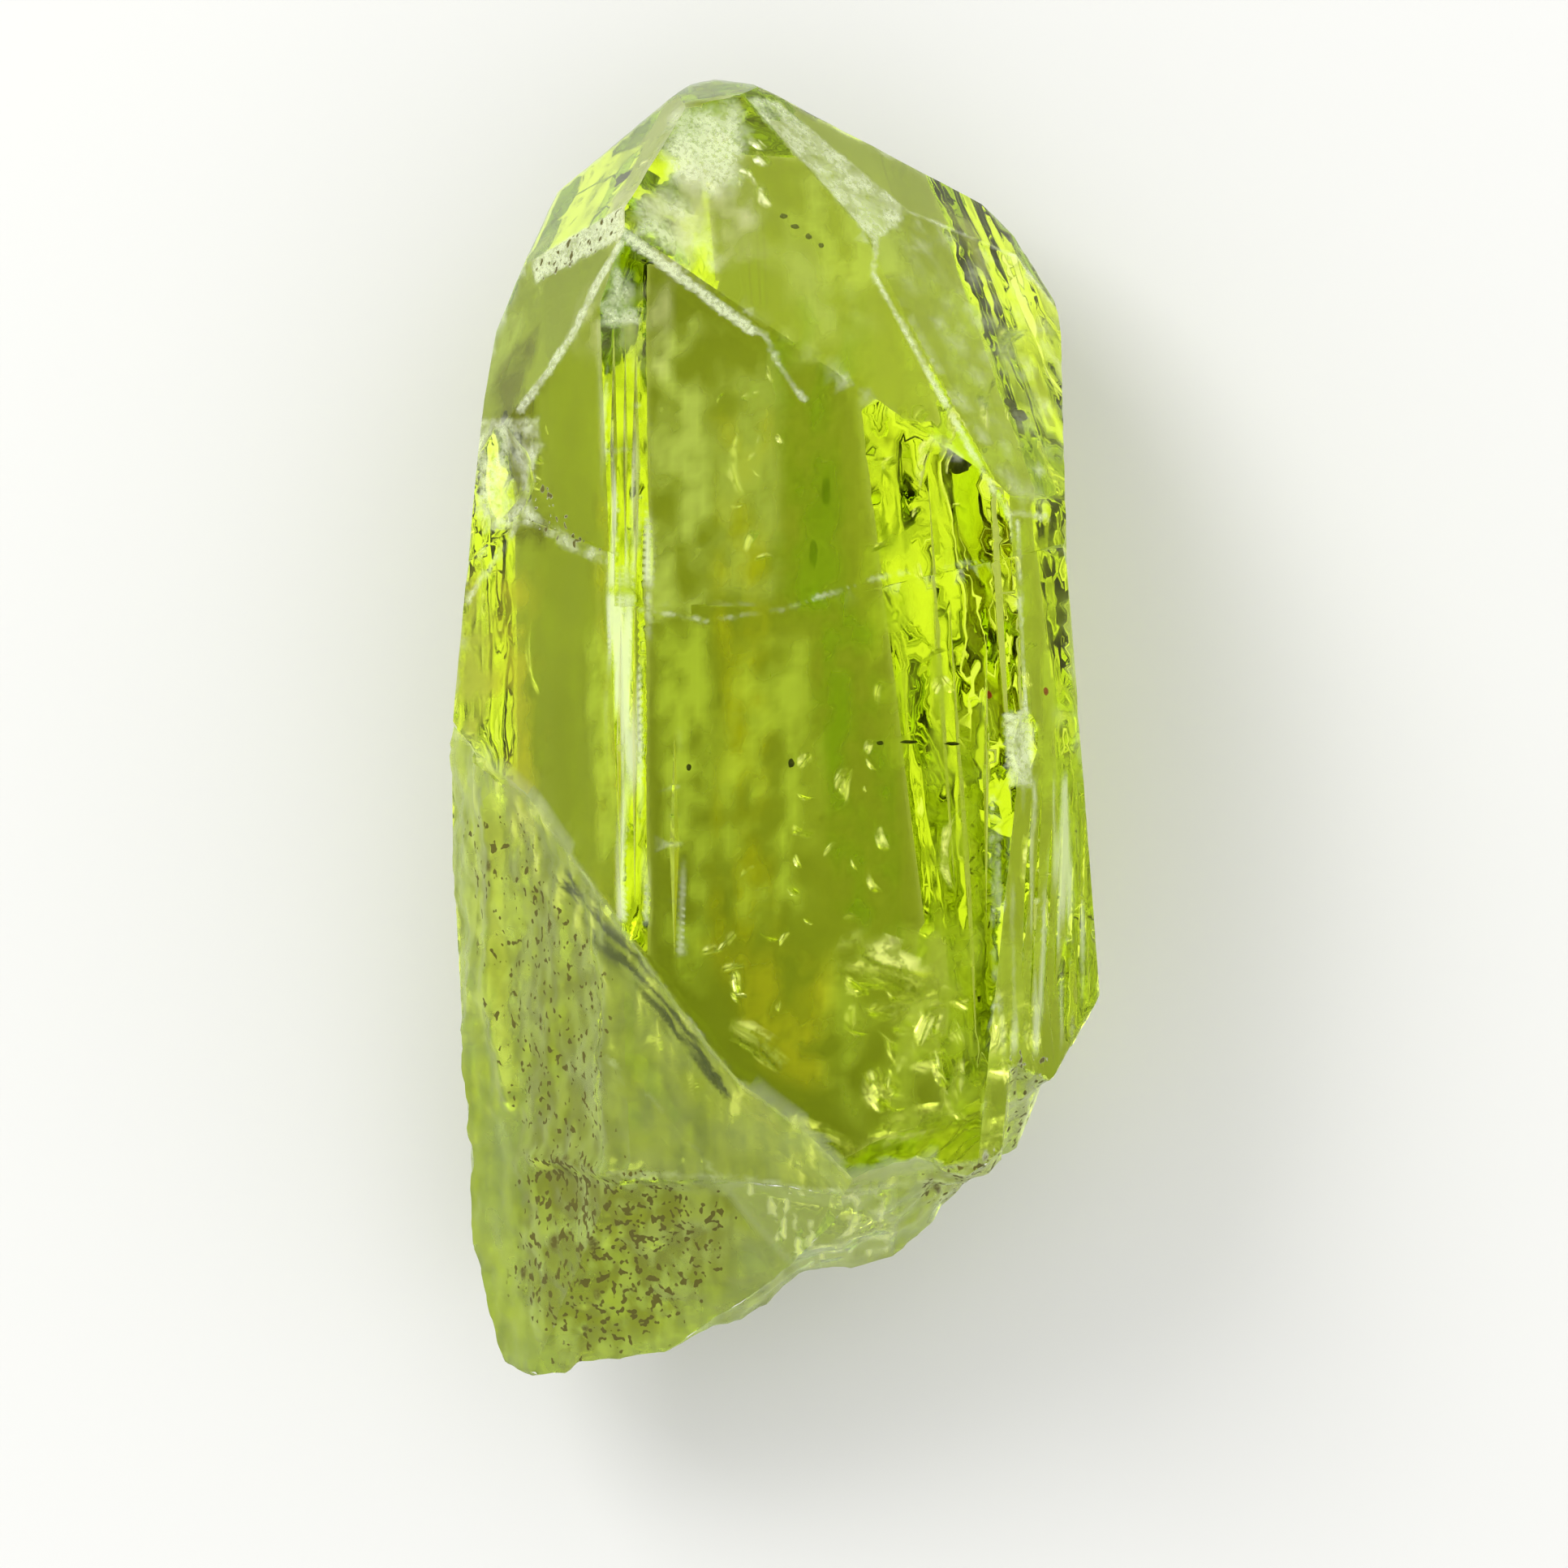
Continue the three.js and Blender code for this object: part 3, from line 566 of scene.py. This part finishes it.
class Tree:
    def __init__(self, name):
        self.material = bpy.data.materials.new(name)
        self.material.use_nodes = True
        self.tree = self.material.node_tree
        self.tree.nodes.clear()
        self.out = self.node("ShaderNodeOutputMaterial", {})

    def put(self, socket, value):
        if isinstance(value, bpy.types.NodeSocket):
            self.tree.links.new(value, socket)
        else:
            socket.default_value = value

    def node(self, kind, inputs, **settings):
        node = self.tree.nodes.new(kind)
        for name, value in settings.items():
            setattr(node, name, value)
        for name, value in inputs.items():
            self.put(node.inputs[name], value)
        return node

    def mask(self, name):
        return self.node("ShaderNodeAttribute", {}, attribute_name=name).outputs["Fac"]

    def place(self, stretch=(1, 1, 1)):
        """The surface place in millimetres, with each axis multiplied by its stretch."""
        start = self.node("ShaderNodeTexCoord", {}).outputs["Object"]
        scale = tuple(s / MM for s in stretch)
        return self.node("ShaderNodeVectorMath", {0: start, 1: scale}, operation="MULTIPLY").outputs[0]

    def noise(self, place, size, detail):
        inputs = {"Vector": place, "Scale": 1 / size, "Detail": detail, "Roughness": NOISE_ROUGHNESS}
        return self.node("ShaderNodeTexNoise", inputs).outputs["Fac"]

    def maths(self, operation, a, b, clamp=False):
        return self.node("ShaderNodeMath", {0: a, 1: b}, operation=operation, use_clamp=clamp).outputs[0]

    def add(self, a, b):
        return self.maths("ADD", a, b)

    def times(self, a, b):
        return self.maths("MULTIPLY", a, b)

    def most(self, a, b):
        return self.maths("MAXIMUM", a, b)

    def without(self, value):
        return self.maths("SUBTRACT", 1.0, value, clamp=True)

    def step(self, value, low, high, start=0.0, end=1.0):
        inputs = {"Value": value, "From Min": low, "From Max": high, "To Min": start, "To Max": end}
        return self.node("ShaderNodeMapRange", inputs, interpolation_type="SMOOTHSTEP").outputs["Result"]

    def mix(self, share, a, b):
        node = self.node("ShaderNodeMix", {0: share}, data_type="RGBA")
        self.put(node.inputs[6], a)
        self.put(node.inputs[7], b)
        return node.outputs[2]

    def surface(self, **inputs):
        named = {name.replace("_", " "): value for name, value in inputs.items()}
        shader = self.node("ShaderNodeBsdfPrincipled", named)
        self.tree.links.new(shader.outputs[0], self.out.inputs["Surface"])
        return self.material


# Sizes, shares and steps of the shaders. A step is (value at its start, value at its end), and then the
# shares that it gives at its start and its end where they aren't 0 and 1.

NOISE_ROUGHNESS = 0.6
GRAIN_SIZE = 0.12
FROST_AND_PAINTED_LIGHT_GRAIN = (0.3, 0.6, 0.4, 1.0)
BLOTCH_GRAIN = (0.25, 0.5, 0.6, 1.0)
SPECK_SIZE = 0.17
SPECK_STRETCH = (1, 0.7, 1)
SPECK_GAIN = 0.15
SPECK_EDGE = (0.7, 0.75)
SPECK_START = (0.02, 0.3)
STAIN_STEP = (0.35, 0.75, 0.85, 0.0)
LINED_SHARE = 0.8
STREAK_SHARE = 0.8
# How far each layer hides the clear body, and how rough it makes the surface
HAZE = {"frost_and_painted_light": 0.55, "matte": 0.42, "streak": 0.5, "scarp": 0.6, "grey": 0.8, "dirt": 1.0}
ROUGHNESS = {"frost_and_painted_light": 0.35, "matte": 0.33, "streak": 0.2, "dirt": 0.4}


def crystal_material():
    t = Tree("diopside")
    grain = t.noise(t.place(), GRAIN_SIZE, 2)
    dirty = t.mask("dirt")
    mottle = t.mask("mottle")
    specks = t.add(t.noise(t.place(SPECK_STRETCH), SPECK_SIZE, 1), t.times(dirty, SPECK_GAIN))
    specks = t.times(t.step(specks, *SPECK_EDGE), t.step(dirty, *SPECK_START))
    blotches = t.times(t.mask("blotch"), t.step(grain, *BLOTCH_GRAIN))
    layers = {
        # The frost layer is frosted chips and patches, and also painted light that makes the right facet of
        # the tip pale.
        "frost_and_painted_light": t.times(t.mask("frost_and_painted_light"), t.step(grain, *FROST_AND_PAINTED_LIGHT_GRAIN)),
        "matte": t.mask("matte"),
        "streak": t.mask("streak"),
        "scarp": t.mask("scarp"),
        "grey": t.mask("grey"),
        "dirt": t.most(specks, blotches),
    }
    colour = t.mix(layers["matte"], CLEAR, t.mix(mottle, MATTE, MATTE_PALE))
    stain = t.times(dirty, t.step(mottle, *STAIN_STEP))
    colour = t.mix(t.times(stain, layers["matte"]), colour, STAIN)
    colour = t.mix(t.times(layers["scarp"], LINED_SHARE), colour, LINED)
    colour = t.mix(layers["frost_and_painted_light"], colour, WHITE)
    colour = t.mix(t.times(layers["streak"], STREAK_SHARE), colour, WHITE)
    colour = t.mix(layers["grey"], colour, GREY)
    colour = t.mix(layers["dirt"], colour, DIRT)

    haze = 0.0
    for name, share in HAZE.items():
        haze = t.most(haze, t.times(layers[name], share))
    roughness = 0.0
    for name, share in ROUGHNESS.items():
        roughness = t.add(roughness, t.times(layers[name], share))

    material = t.surface(
        Base_Color=colour,
        Roughness=roughness,
        IOR=IOR,
        Transmission_Weight=t.without(haze),
        Specular_Tint=REFLECTION_TINT,
    )
    body = t.node("ShaderNodeVolumeAbsorption", {"Color": ABSORPTION_COLOUR, "Density": ABSORPTION_DENSITY})
    t.tree.links.new(body.outputs[0], t.out.inputs["Volume"])
    return material


def make_crystal():
    crystal = object_from("crystal", *shaped_crystal())
    shade_smooth(crystal)
    crystal.data.set_sharp_from_angle(angle=SHARP_ANGLE)
    crystal.data.materials.append(crystal_material())
    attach(crystal, "root")
    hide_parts("diopside_crystal")
    return crystal


# Veils inside the crystal: thin cloudy sheets along the prism, coloured zone by zone.
# A zone is [outline, edge, cover, colour], and a sheet is [name, height, zones].

DEEP_GREEN = (0.34, 0.52, 0.0)
OLIVE = (0.20, 0.20, 0.0)
PALE_GREEN = (0.86, 1.0, 0.34)
MILKY = (1.0, 1.0, 0.8)
YELLOW = (0.95, 0.85, 0.08)
UPPER_ZONES = [
    [[(-2.75, 9.0), (-1.64, 9.4), (-1.5, 2.6), (-2.8, 2.4)], 0.35, 0.8, PALE_GREEN],
    [[(-1.6, 9.2), (0.1, 8.6), (0.1, 2.8), (-1.5, 3.0)], 0.6, 0.45, PALE_GREEN],
    [[(-2.6, 13.9), (-0.4, 14.2), (0.4, 12.4), (-0.6, 11.4), (-2.3, 12.0)], 0.9, 1.0, MILKY],
    [[(-3.3, 12.0), (-0.7, 11.8), (-0.2, 9.9), (-2.0, 10.4), (-3.2, 11.0)], 0.7, 0.7, MILKY],
    [[(0.2, 12.6), (2.2, 10.6), (2.2, 8.8), (0.6, 8.4), (-0.2, 10.2)], 0.8, 0.5, PALE_GREEN],
    [[(-3.6, 9.9), (-2.4, 10.2), (-2.4, 8.2), (-3.9, 8.6)], 0.5, 0.8, MILKY],
]
MIDDLE_ZONES = [
    [[(-5.5, 8.2), (-4.1, 8.8), (-4.0, 4.1), (-5.3, 4.4)], 0.3, 0.9, OLIVE],
    [[(-6.3, 9.2), (-5.0, 10.8), (-3.7, 10.6), (-4.4, 9.2), (-6.0, 7.2)], 0.5, 0.8, PALE_GREEN],
    [[(0.2, 12.9), (2.3, 10.8), (2.3, 9.2), (0.6, 9.0), (-0.2, 10.2)], 0.7, 0.8, PALE_GREEN],
    [[(-6.7, 3.2), (-5.6, 3.0), (-5.6, -0.9), (-6.9, -0.2)], 0.6, 0.7, PALE_GREEN],
    [[(0.0, 8.8), (1.5, 9.0), (1.7, 2.6), (0.1, 2.6)], 0.8, 0.7, DEEP_GREEN],
    [[(0.85, 3.0), (2.2, 3.0), (2.6, -0.4), (3.0, -4.8), (1.6, -4.6), (0.9, -0.2)], 0.5, 0.8, DEEP_GREEN],
    [[(-6.9, 3.6), (-4.3, 3.6), (-4.2, -3.6), (-5.5, -1.6), (-7, -0.2)], 0.8, 0.7, YELLOW],
    [[(-1.2, 1.8), (0.8, 2.0), (0.9, -4.5), (-1.4, -4.6)], 0.8, 0.7, PALE_GREEN],
    [[(-2.6, 2.4), (-1.5, 2.4), (-1.5, -6.2), (-2.6, -5.2)], 0.4, 0.75, PALE_GREEN],
    [[(-1.5, -5.0), (1.4, -5.2), (1.2, -8.6), (-0.6, -7.6)], 0.6, 0.6, YELLOW],
    [[(1.2, -4.6), (4.6, -4.6), (4.8, -8.6), (2.4, -9.9), (1.0, -8.4)], 0.5, 0.5, PALE_GREEN],
]
LOWER_ZONES = [
    [[(1.9, 9.2), (3.2, 8.6), (3.3, -1.0), (2.6, -1.0), (1.9, 3.0)], 0.4, 0.6, PALE_GREEN],
    [[(3.2, 11.2), (5.6, 10.4), (6.2, 9.0), (6.0, 5.6), (4.2, 8.0)], 0.6, 0.8, MILKY],
    [[(3.4, 8.3), (5.3, 7.0), (5.3, -1.0), (3.6, -1.0)], 0.3, 0.75, PALE_GREEN],
    [[(3.4, -0.9), (4.7, -0.9), (4.7, -4.8), (3.7, -4.8)], 0.3, 0.7, PALE_GREEN],
    [[(-1.4, 7.2), (-0.1, 7.2), (0.0, -5.2), (-1.4, -5.2)], 0.5, 0.6, YELLOW],
]
SHEETS = [
    ["veil_upper", 8.3, UPPER_ZONES],
    ["veil_middle", 5.6, MIDDLE_ZONES],
    ["veil_lower", 3.0, LOWER_ZONES],
]
VEIL_CELL = 0.14
VEIL_REACH = (7.5, 15)
VEIL_MARGIN = 0.3
VEIL_FADE = 0.7
VEIL_ROUGHNESS = 0.6
WAVE_HEIGHT = 0.5
WAVE_LENGTH = 3.5
WANDER = 0.35
WANDER_SIZE = 1.2
WANDER_SQUEEZE = np.array([1, 0.4, 1])
WANDER_SEEDS = (10, 20)
STREAK_SIZE = 0.7
STREAK_SQUEEZE = np.array([1, 0.25, 1])
STREAK_SEED = 30
LUMP_SIZE = 0.8
LUMP_SEED = 40
VEIL_TEXTURE = (-0.5, 0.5)
LEAST_COVER = 0.01
LEAST_DEPTH = 0.05


def depths_in(points, skin):
    """How deep each point lies below the skin, with a minus sign outside it."""
    depth = np.zeros(len(points))
    for i, point in enumerate(points):
        place, normal, _, distance = skin.find_nearest(Vector(point) * MM)
        inside = (Vector(point) * MM - place).dot(normal) < 0
        depth[i] = distance / MM if inside else -distance / MM
    return depth


def veil_paint(grid, zones, seed):
    """The cover and colour that the zones give each place of the sheet."""
    flat = np.column_stack([grid, np.zeros(len(grid))])
    wander = [WANDER * layered_noise(flat * WANDER_SQUEEZE, WANDER_SIZE, seed + i) for i in WANDER_SEEDS]
    streaks = layered_noise(flat * STREAK_SQUEEZE, STREAK_SIZE, seed + STREAK_SEED)
    texture = smooth(streaks + layered_noise(flat, LUMP_SIZE, seed + LUMP_SEED), *VEIL_TEXTURE)
    cover = np.zeros(len(grid))
    colour = np.zeros((len(grid), 3))
    for outline, edge, strength, tone in zones:
        part = patch_cover(grid + np.column_stack(wander), outline, edge) * strength * texture
        cover += part
        colour += part[:, None] * np.array(tone)
    return cover, colour / np.maximum(cover, 1e-6)[:, None]


def make_veil(name, height, zones, seed, skin):
    """A sheet near this height, kept inside the crystal, whose cover and colour follow the zones."""
    xs, ys = (np.arange(-reach, reach, VEIL_CELL) for reach in VEIL_REACH)
    grid = np.stack(np.meshgrid(xs, ys, indexing="ij"), axis=-1).reshape(-1, 2)
    flat = np.column_stack([grid, np.zeros(len(grid))])
    points = np.column_stack([grid, height + WAVE_HEIGHT * noise_at(flat, WAVE_LENGTH, seed)])
    depth = depths_in(points, skin)
    cover, colour = veil_paint(grid, zones, seed)
    cover *= smooth(depth, VEIL_MARGIN, VEIL_MARGIN + VEIL_FADE)
    rows = len(ys)
    quads = []
    for i in range(len(xs) - 1):
        for j in range(rows - 1):
            corner = i * rows + j
            corners = (corner, corner + rows, corner + rows + 1, corner + 1)
            if max(cover[c] for c in corners) > LEAST_COVER and min(depth[c] for c in corners) > LEAST_DEPTH:
                quads.append(corners)
    used = np.unique(np.array(quads))
    order = np.zeros(len(points), int)
    order[used] = np.arange(len(used))
    veil = object_from(name, points[used], order[np.array(quads)], {"cover": cover[used].clip(0, 1)})
    tone = veil.data.attributes.new("tone", "FLOAT_COLOR", "POINT")
    rgba = np.column_stack([colour[used], np.ones(len(used))])
    tone.data.foreach_set("color", rgba.astype(np.float32).ravel())
    shade_smooth(veil)
    veil.visible_shadow = False
    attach(veil, "root")
    return veil


def veil_material():
    t = Tree("veil")
    tone = t.node("ShaderNodeAttribute", {}, attribute_name="tone").outputs["Color"]
    return t.surface(Base_Color=tone, Roughness=VEIL_ROUGHNESS, Alpha=t.mask("cover"))


def make_veils(crystal):
    skin = BVHTree.FromObject(crystal, bpy.context.evaluated_depsgraph_get())
    material = veil_material()
    for number, (name, height, zones) in enumerate(SHEETS):
        make_veil(name, height, zones, 100 * number, skin).data.materials.append(material)


# Healed cracks, each a bent shard given as [middle, length, breadth, turn and tilt in degrees]

CRACKS = [
    [(2.6, -5.6, 6.5), 2.6, 1.5, -20, 30],
    [(3.6, -6.3, 5.2), 2.2, 1.2, 15, 40],
    [(3.3, -9.2, 4.6), 2.4, 0.9, 10, 25],
    [(2.9, -6.4, 4.0), 1.8, 0.7, 5, 50],
    [(1.5, -1.2, 7.2), 0.7, 0.3, 60, 45],
    [(2.5, -2.6, 6.6), 0.8, 0.35, 110, 40],
    [(-0.6, -3.3, 7.0), 0.6, 0.3, 30, 55],
    [(1.65, -1.4, 5.0), 0.9, 0.3, 80, 30],
    [(4.0, -2.8, 5.0), 1.9, 0.5, 85, 60],
    [(3.5, 6.2, 5.2), 2.2, 0.6, 70, 60],
    [(-0.9, 6.0, 6.4), 1.6, 0.5, 95, 50],
    [(-0.5, -7.3, 6.0), 1.9, 0.9, -35, 35],
    [(-1.5, 13.1, 7.0), 1.1, 0.8, 20, 30],
    [(-4.6, 1.5, 6.0), 2.0, 0.6, 100, 60],
    [(0.9, -9.6, 4.6), 2.2, 1.0, -10, 30],
    [(4.6, 8.2, 4.2), 1.5, 0.7, 40, 50],
]
# Clusters of small cracks, as [middle, spread along x, y and z, count, largest length]
CRACK_CLUSTERS = [
    [(3.0, -7.4, 5.0), (1.3, 1.5, 1.0), 30, 1.3],
    [(1.4, -2.6, 6.4), (1.0, 2.2, 0.8), 14, 0.6],
    [(-0.6, -5.6, 6.6), (0.9, 1.6, 0.8), 10, 0.8],
    [(-0.4, 5.8, 6.6), (1.1, 2.4, 0.7), 12, 0.7],
    [(-1.2, 12.2, 7.0), (0.8, 1.2, 0.5), 14, 0.8],
    [(3.2, 3.6, 4.8), (1.0, 3.2, 0.8), 12, 0.7],
    [(-4.6, 6.0, 6.0), (0.6, 1.4, 0.6), 8, 0.5],
]
SCATTER_SEED = 31
LENGTH_SHARES = (0.35, 1)
BREADTH_SHARES = (0.3, 0.7)
TURNS = (0, 180)
TILTS = (15, 65)
CRACK_SIDE = 10  # points along each side of a shard
CRACK_BOW = 0.12  # rise of a shard's ends, as a share of its length
CRACK_DROOP = 0.2  # fall of its sides, as a share of its breadth
CRUMPLE = 0.06
CRUMPLE_SIZE = 0.5
TORN_SHARE = 0.45
TORN_SEED = 40
TORN_EDGE = (0.05, 0.35)
CRACK_COVER = 0.95
CRACK_COLOUR = (1, 1, 0.85, 1)
CRACK_ROUGHNESS = 0.2
CRACK_GRAIN = 0.25
CRACK_GRAIN_STEP = (0.35, 0.6, 0.2, 1.0)


def scattered_cracks():
    rng = np.random.default_rng(SCATTER_SEED)
    cracks = []
    for middle, spread, count, longest in CRACK_CLUSTERS:
        for _ in range(count):
            place = np.array(middle) + np.array(spread) * rng.uniform(-1, 1, 3)
            length = longest * rng.uniform(*LENGTH_SHARES)
            turn = rng.uniform(*TURNS)
            tilt = rng.uniform(*TILTS)
            cracks.append([place, length, length * rng.uniform(*BREADTH_SHARES), turn, tilt])
    return cracks


def crack_shard(middle, length, breadth, turn, tilt, number):
    """The points of one bent shard and the cover of each, ragged towards its rim."""
    steps = np.linspace(-1, 1, CRACK_SIDE)
    u, v = (side.ravel() for side in np.meshgrid(steps, steps, indexing="ij"))
    rise = CRACK_BOW * length * u * u - CRACK_DROOP * breadth * v * v
    sheet = np.column_stack([u * length / 2, v * breadth / 2, rise])
    sheet[:, 2] += CRUMPLE * noise_at(sheet, CRUMPLE_SIZE, number)
    turned = Matrix.Rotation(math.radians(turn), 3, "Z") @ Matrix.Rotation(math.radians(tilt), 3, "X")
    places = sheet @ np.array(turned).T + np.array(middle)
    torn = 1 - np.hypot(u, v) + TORN_SHARE * noise_at(places, CRUMPLE_SIZE, TORN_SEED + number)
    return places, smooth(torn, *TORN_EDGE) * CRACK_COVER


def crack_material():
    t = Tree("healed_crack")
    grain = t.noise(t.place(), CRACK_GRAIN, 2)
    cover = t.times(t.mask("cover"), t.step(grain, *CRACK_GRAIN_STEP))
    return t.surface(Base_Color=CRACK_COLOUR, Metallic=1.0, Roughness=CRACK_ROUGHNESS, Alpha=cover)


def make_cracks():
    points, faces, cover = [], [], []
    for number, crack in enumerate(CRACKS + scattered_cracks()):
        start = len(points)
        places, shard_cover = crack_shard(*crack, number)
        points.extend(places)
        cover.extend(shard_cover)
        for i in range(CRACK_SIDE - 1):
            for j in range(CRACK_SIDE - 1):
                corner = start + i * CRACK_SIDE + j
                faces.append((corner, corner + CRACK_SIDE, corner + CRACK_SIDE + 1, corner + 1))
    cracks = object_from("healed_cracks", points, faces, {"cover": cover})
    shade_smooth(cracks)
    cracks.data.materials.append(crack_material())
    cracks.visible_shadow = False
    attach(cracks, "root")


# Dark and red grains inside, as [middle, size along x, y and z]

DARK_GRAINS = [
    [(4.27, 6.0, 4.6), (0.5, 0.35, 0.3)],
    [(4.05, 6.25, 4.5), (0.3, 0.25, 0.2)],
    [(2.43, -0.38, 6.2), (0.16, 0.1, 0.1)],
    [(3.1, -0.36, 5.8), (0.4, 0.08, 0.1)],
    [(4.1, -0.4, 5.2), (0.34, 0.08, 0.1)],
    [(0.39, -0.85, 7.0), (0.14, 0.2, 0.1)],
    [(-1.96, -0.94, 7.2), (0.12, 0.16, 0.1)],
    [(-0.16, 11.2, 6.4), (0.18, 0.14, 0.1)],
    [(0.1, 10.95, 6.4), (0.2, 0.12, 0.1)],
    [(0.4, 10.7, 6.3), (0.15, 0.15, 0.1)],
    [(0.67, 10.48, 6.2), (0.14, 0.12, 0.1)],
    [(-4.9, 6.6, 5.6), (0.3, 0.5, 0.2)],
    [(-4.6, 5.4, 5.6), (0.25, 0.4, 0.2)],
    [(1.2, 5.4, 4.6), (0.2, 0.7, 0.2)],
    [(0.9, 4.0, 4.2), (0.2, 0.6, 0.2)],
]
RED_GRAINS = [[(4.93, 0.72, 6.4), (0.14, 0.18, 0.14)]]
DARK_COLOURS = ((0.015, 0.02, 0.004, 1), (0.05, 0.06, 0.01, 1))
RED_COLOURS = ((0.35, 0.03, 0.01, 1), (0.5, 0.12, 0.03, 1))
GRAIN_UNEVENNESS = 0.3
GRAIN_LUMP = 0.4
GRAIN_MOTTLE = 0.1
GRAIN_MOTTLE_STEP = (0.4, 0.6)
GRAIN_ROUGHNESS = 0.5


def grain_material(name, colour, pale):
    t = Tree(name)
    mottle = t.step(t.noise(t.place(), GRAIN_MOTTLE, 2), *GRAIN_MOTTLE_STEP)
    return t.surface(Base_Color=t.mix(mottle, colour, pale), Roughness=GRAIN_ROUGHNESS)


def make_grains(name, places_and_sizes, colours):
    points, faces = [], []
    for middle, size in places_and_sizes:
        ball = bmesh.new()
        bmesh.ops.create_icosphere(ball, subdivisions=3, radius=0.5)
        ball.verts.index_update()
        places = np.array([v.co for v in ball.verts])
        places *= 1 + GRAIN_UNEVENNESS * noise_at(places + np.array(middle), GRAIN_LUMP)[:, None]
        faces.extend(tuple(v.index + len(points) for v in f.verts) for f in ball.faces)
        points.extend(places * np.array(size) + np.array(middle))
        ball.free()
    grains = object_from(name, points, faces)
    grains.data.materials.append(grain_material(name, *colours))
    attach(grains, "root")


def make_camera():
    camera = bpy.data.cameras.new("camera")
    camera.lens = LENS
    camera.sensor_width = SENSOR
    camera.clip_start, camera.clip_end = (distance * MM for distance in CLIP_RANGE)
    obj = bpy.data.objects.new("camera", camera)
    obj.location = Vector(CAMERA_PLACE) * MM
    bpy.context.scene.collection.objects.link(obj)
    bpy.context.scene.camera = obj


def make_floor():
    half = FLOOR_SIZE / 2
    corners = [(x * half, y * half, -FLOOR_GAP) for x, y in ((-1, -1), (1, -1), (1, 1), (-1, 1))]
    floor = object_from("floor", corners, [(0, 1, 2, 3)])
    material = Tree("floor").surface(Base_Color=FLOOR_COLOUR, Roughness=FLOOR_ROUGHNESS)
    floor.data.materials.append(material)


def make_light(name, place, size, power):
    light = bpy.data.lights.new(name, "AREA")
    light.shape = "RECTANGLE"
    light.size, light.size_y = (side * MM for side in size)
    light.energy = power
    obj = bpy.data.objects.new(name, light)
    obj.location = Vector(place) * MM
    obj.rotation_mode = "QUATERNION"
    obj.rotation_quaternion = (-Vector(place)).to_track_quat("-Z", "Y")
    bpy.context.scene.collection.objects.link(obj)


def make_room():
    """An evenly bright room around the crystal, with one small dark patch straight above."""
    world = bpy.data.worlds.new("studio")
    bpy.context.scene.world = world
    world.use_nodes = True
    nodes, links = world.node_tree.nodes, world.node_tree.links
    direction = nodes.new("ShaderNodeTexCoord")
    height = nodes.new("ShaderNodeSeparateXYZ")
    links.new(direction.outputs["Generated"], height.inputs[0])
    shade = nodes.new("ShaderNodeMapRange")
    shade.interpolation_type = "SMOOTHSTEP"
    links.new(height.outputs["Z"], shade.inputs["Value"])
    shade.inputs["From Min"].default_value = math.cos(math.radians(DARK_OVERHEAD[1]))
    shade.inputs["From Max"].default_value = math.cos(math.radians(DARK_OVERHEAD[0]))
    shade.inputs["To Min"].default_value = SURROUND
    shade.inputs["To Max"].default_value = OVERHEAD
    nodes["Background"].inputs["Color"].default_value = (1, 1, 1, 1)
    links.new(shade.outputs[0], nodes["Background"].inputs["Strength"])


def make_studio():
    scene = bpy.context.scene
    scene.view_settings.view_transform = "Standard"
    for name, count in BOUNCES.items():
        setattr(scene.cycles, name, count)
    make_room()
    for light in LIGHTS:
        make_light(*light)


make_camera()
make_floor()
make_studio()
crystal = make_crystal()
make_veils(crystal)
make_cracks()
make_grains("dark_grains", DARK_GRAINS, DARK_COLOURS)
make_grains("red_grain", RED_GRAINS, RED_COLOURS)
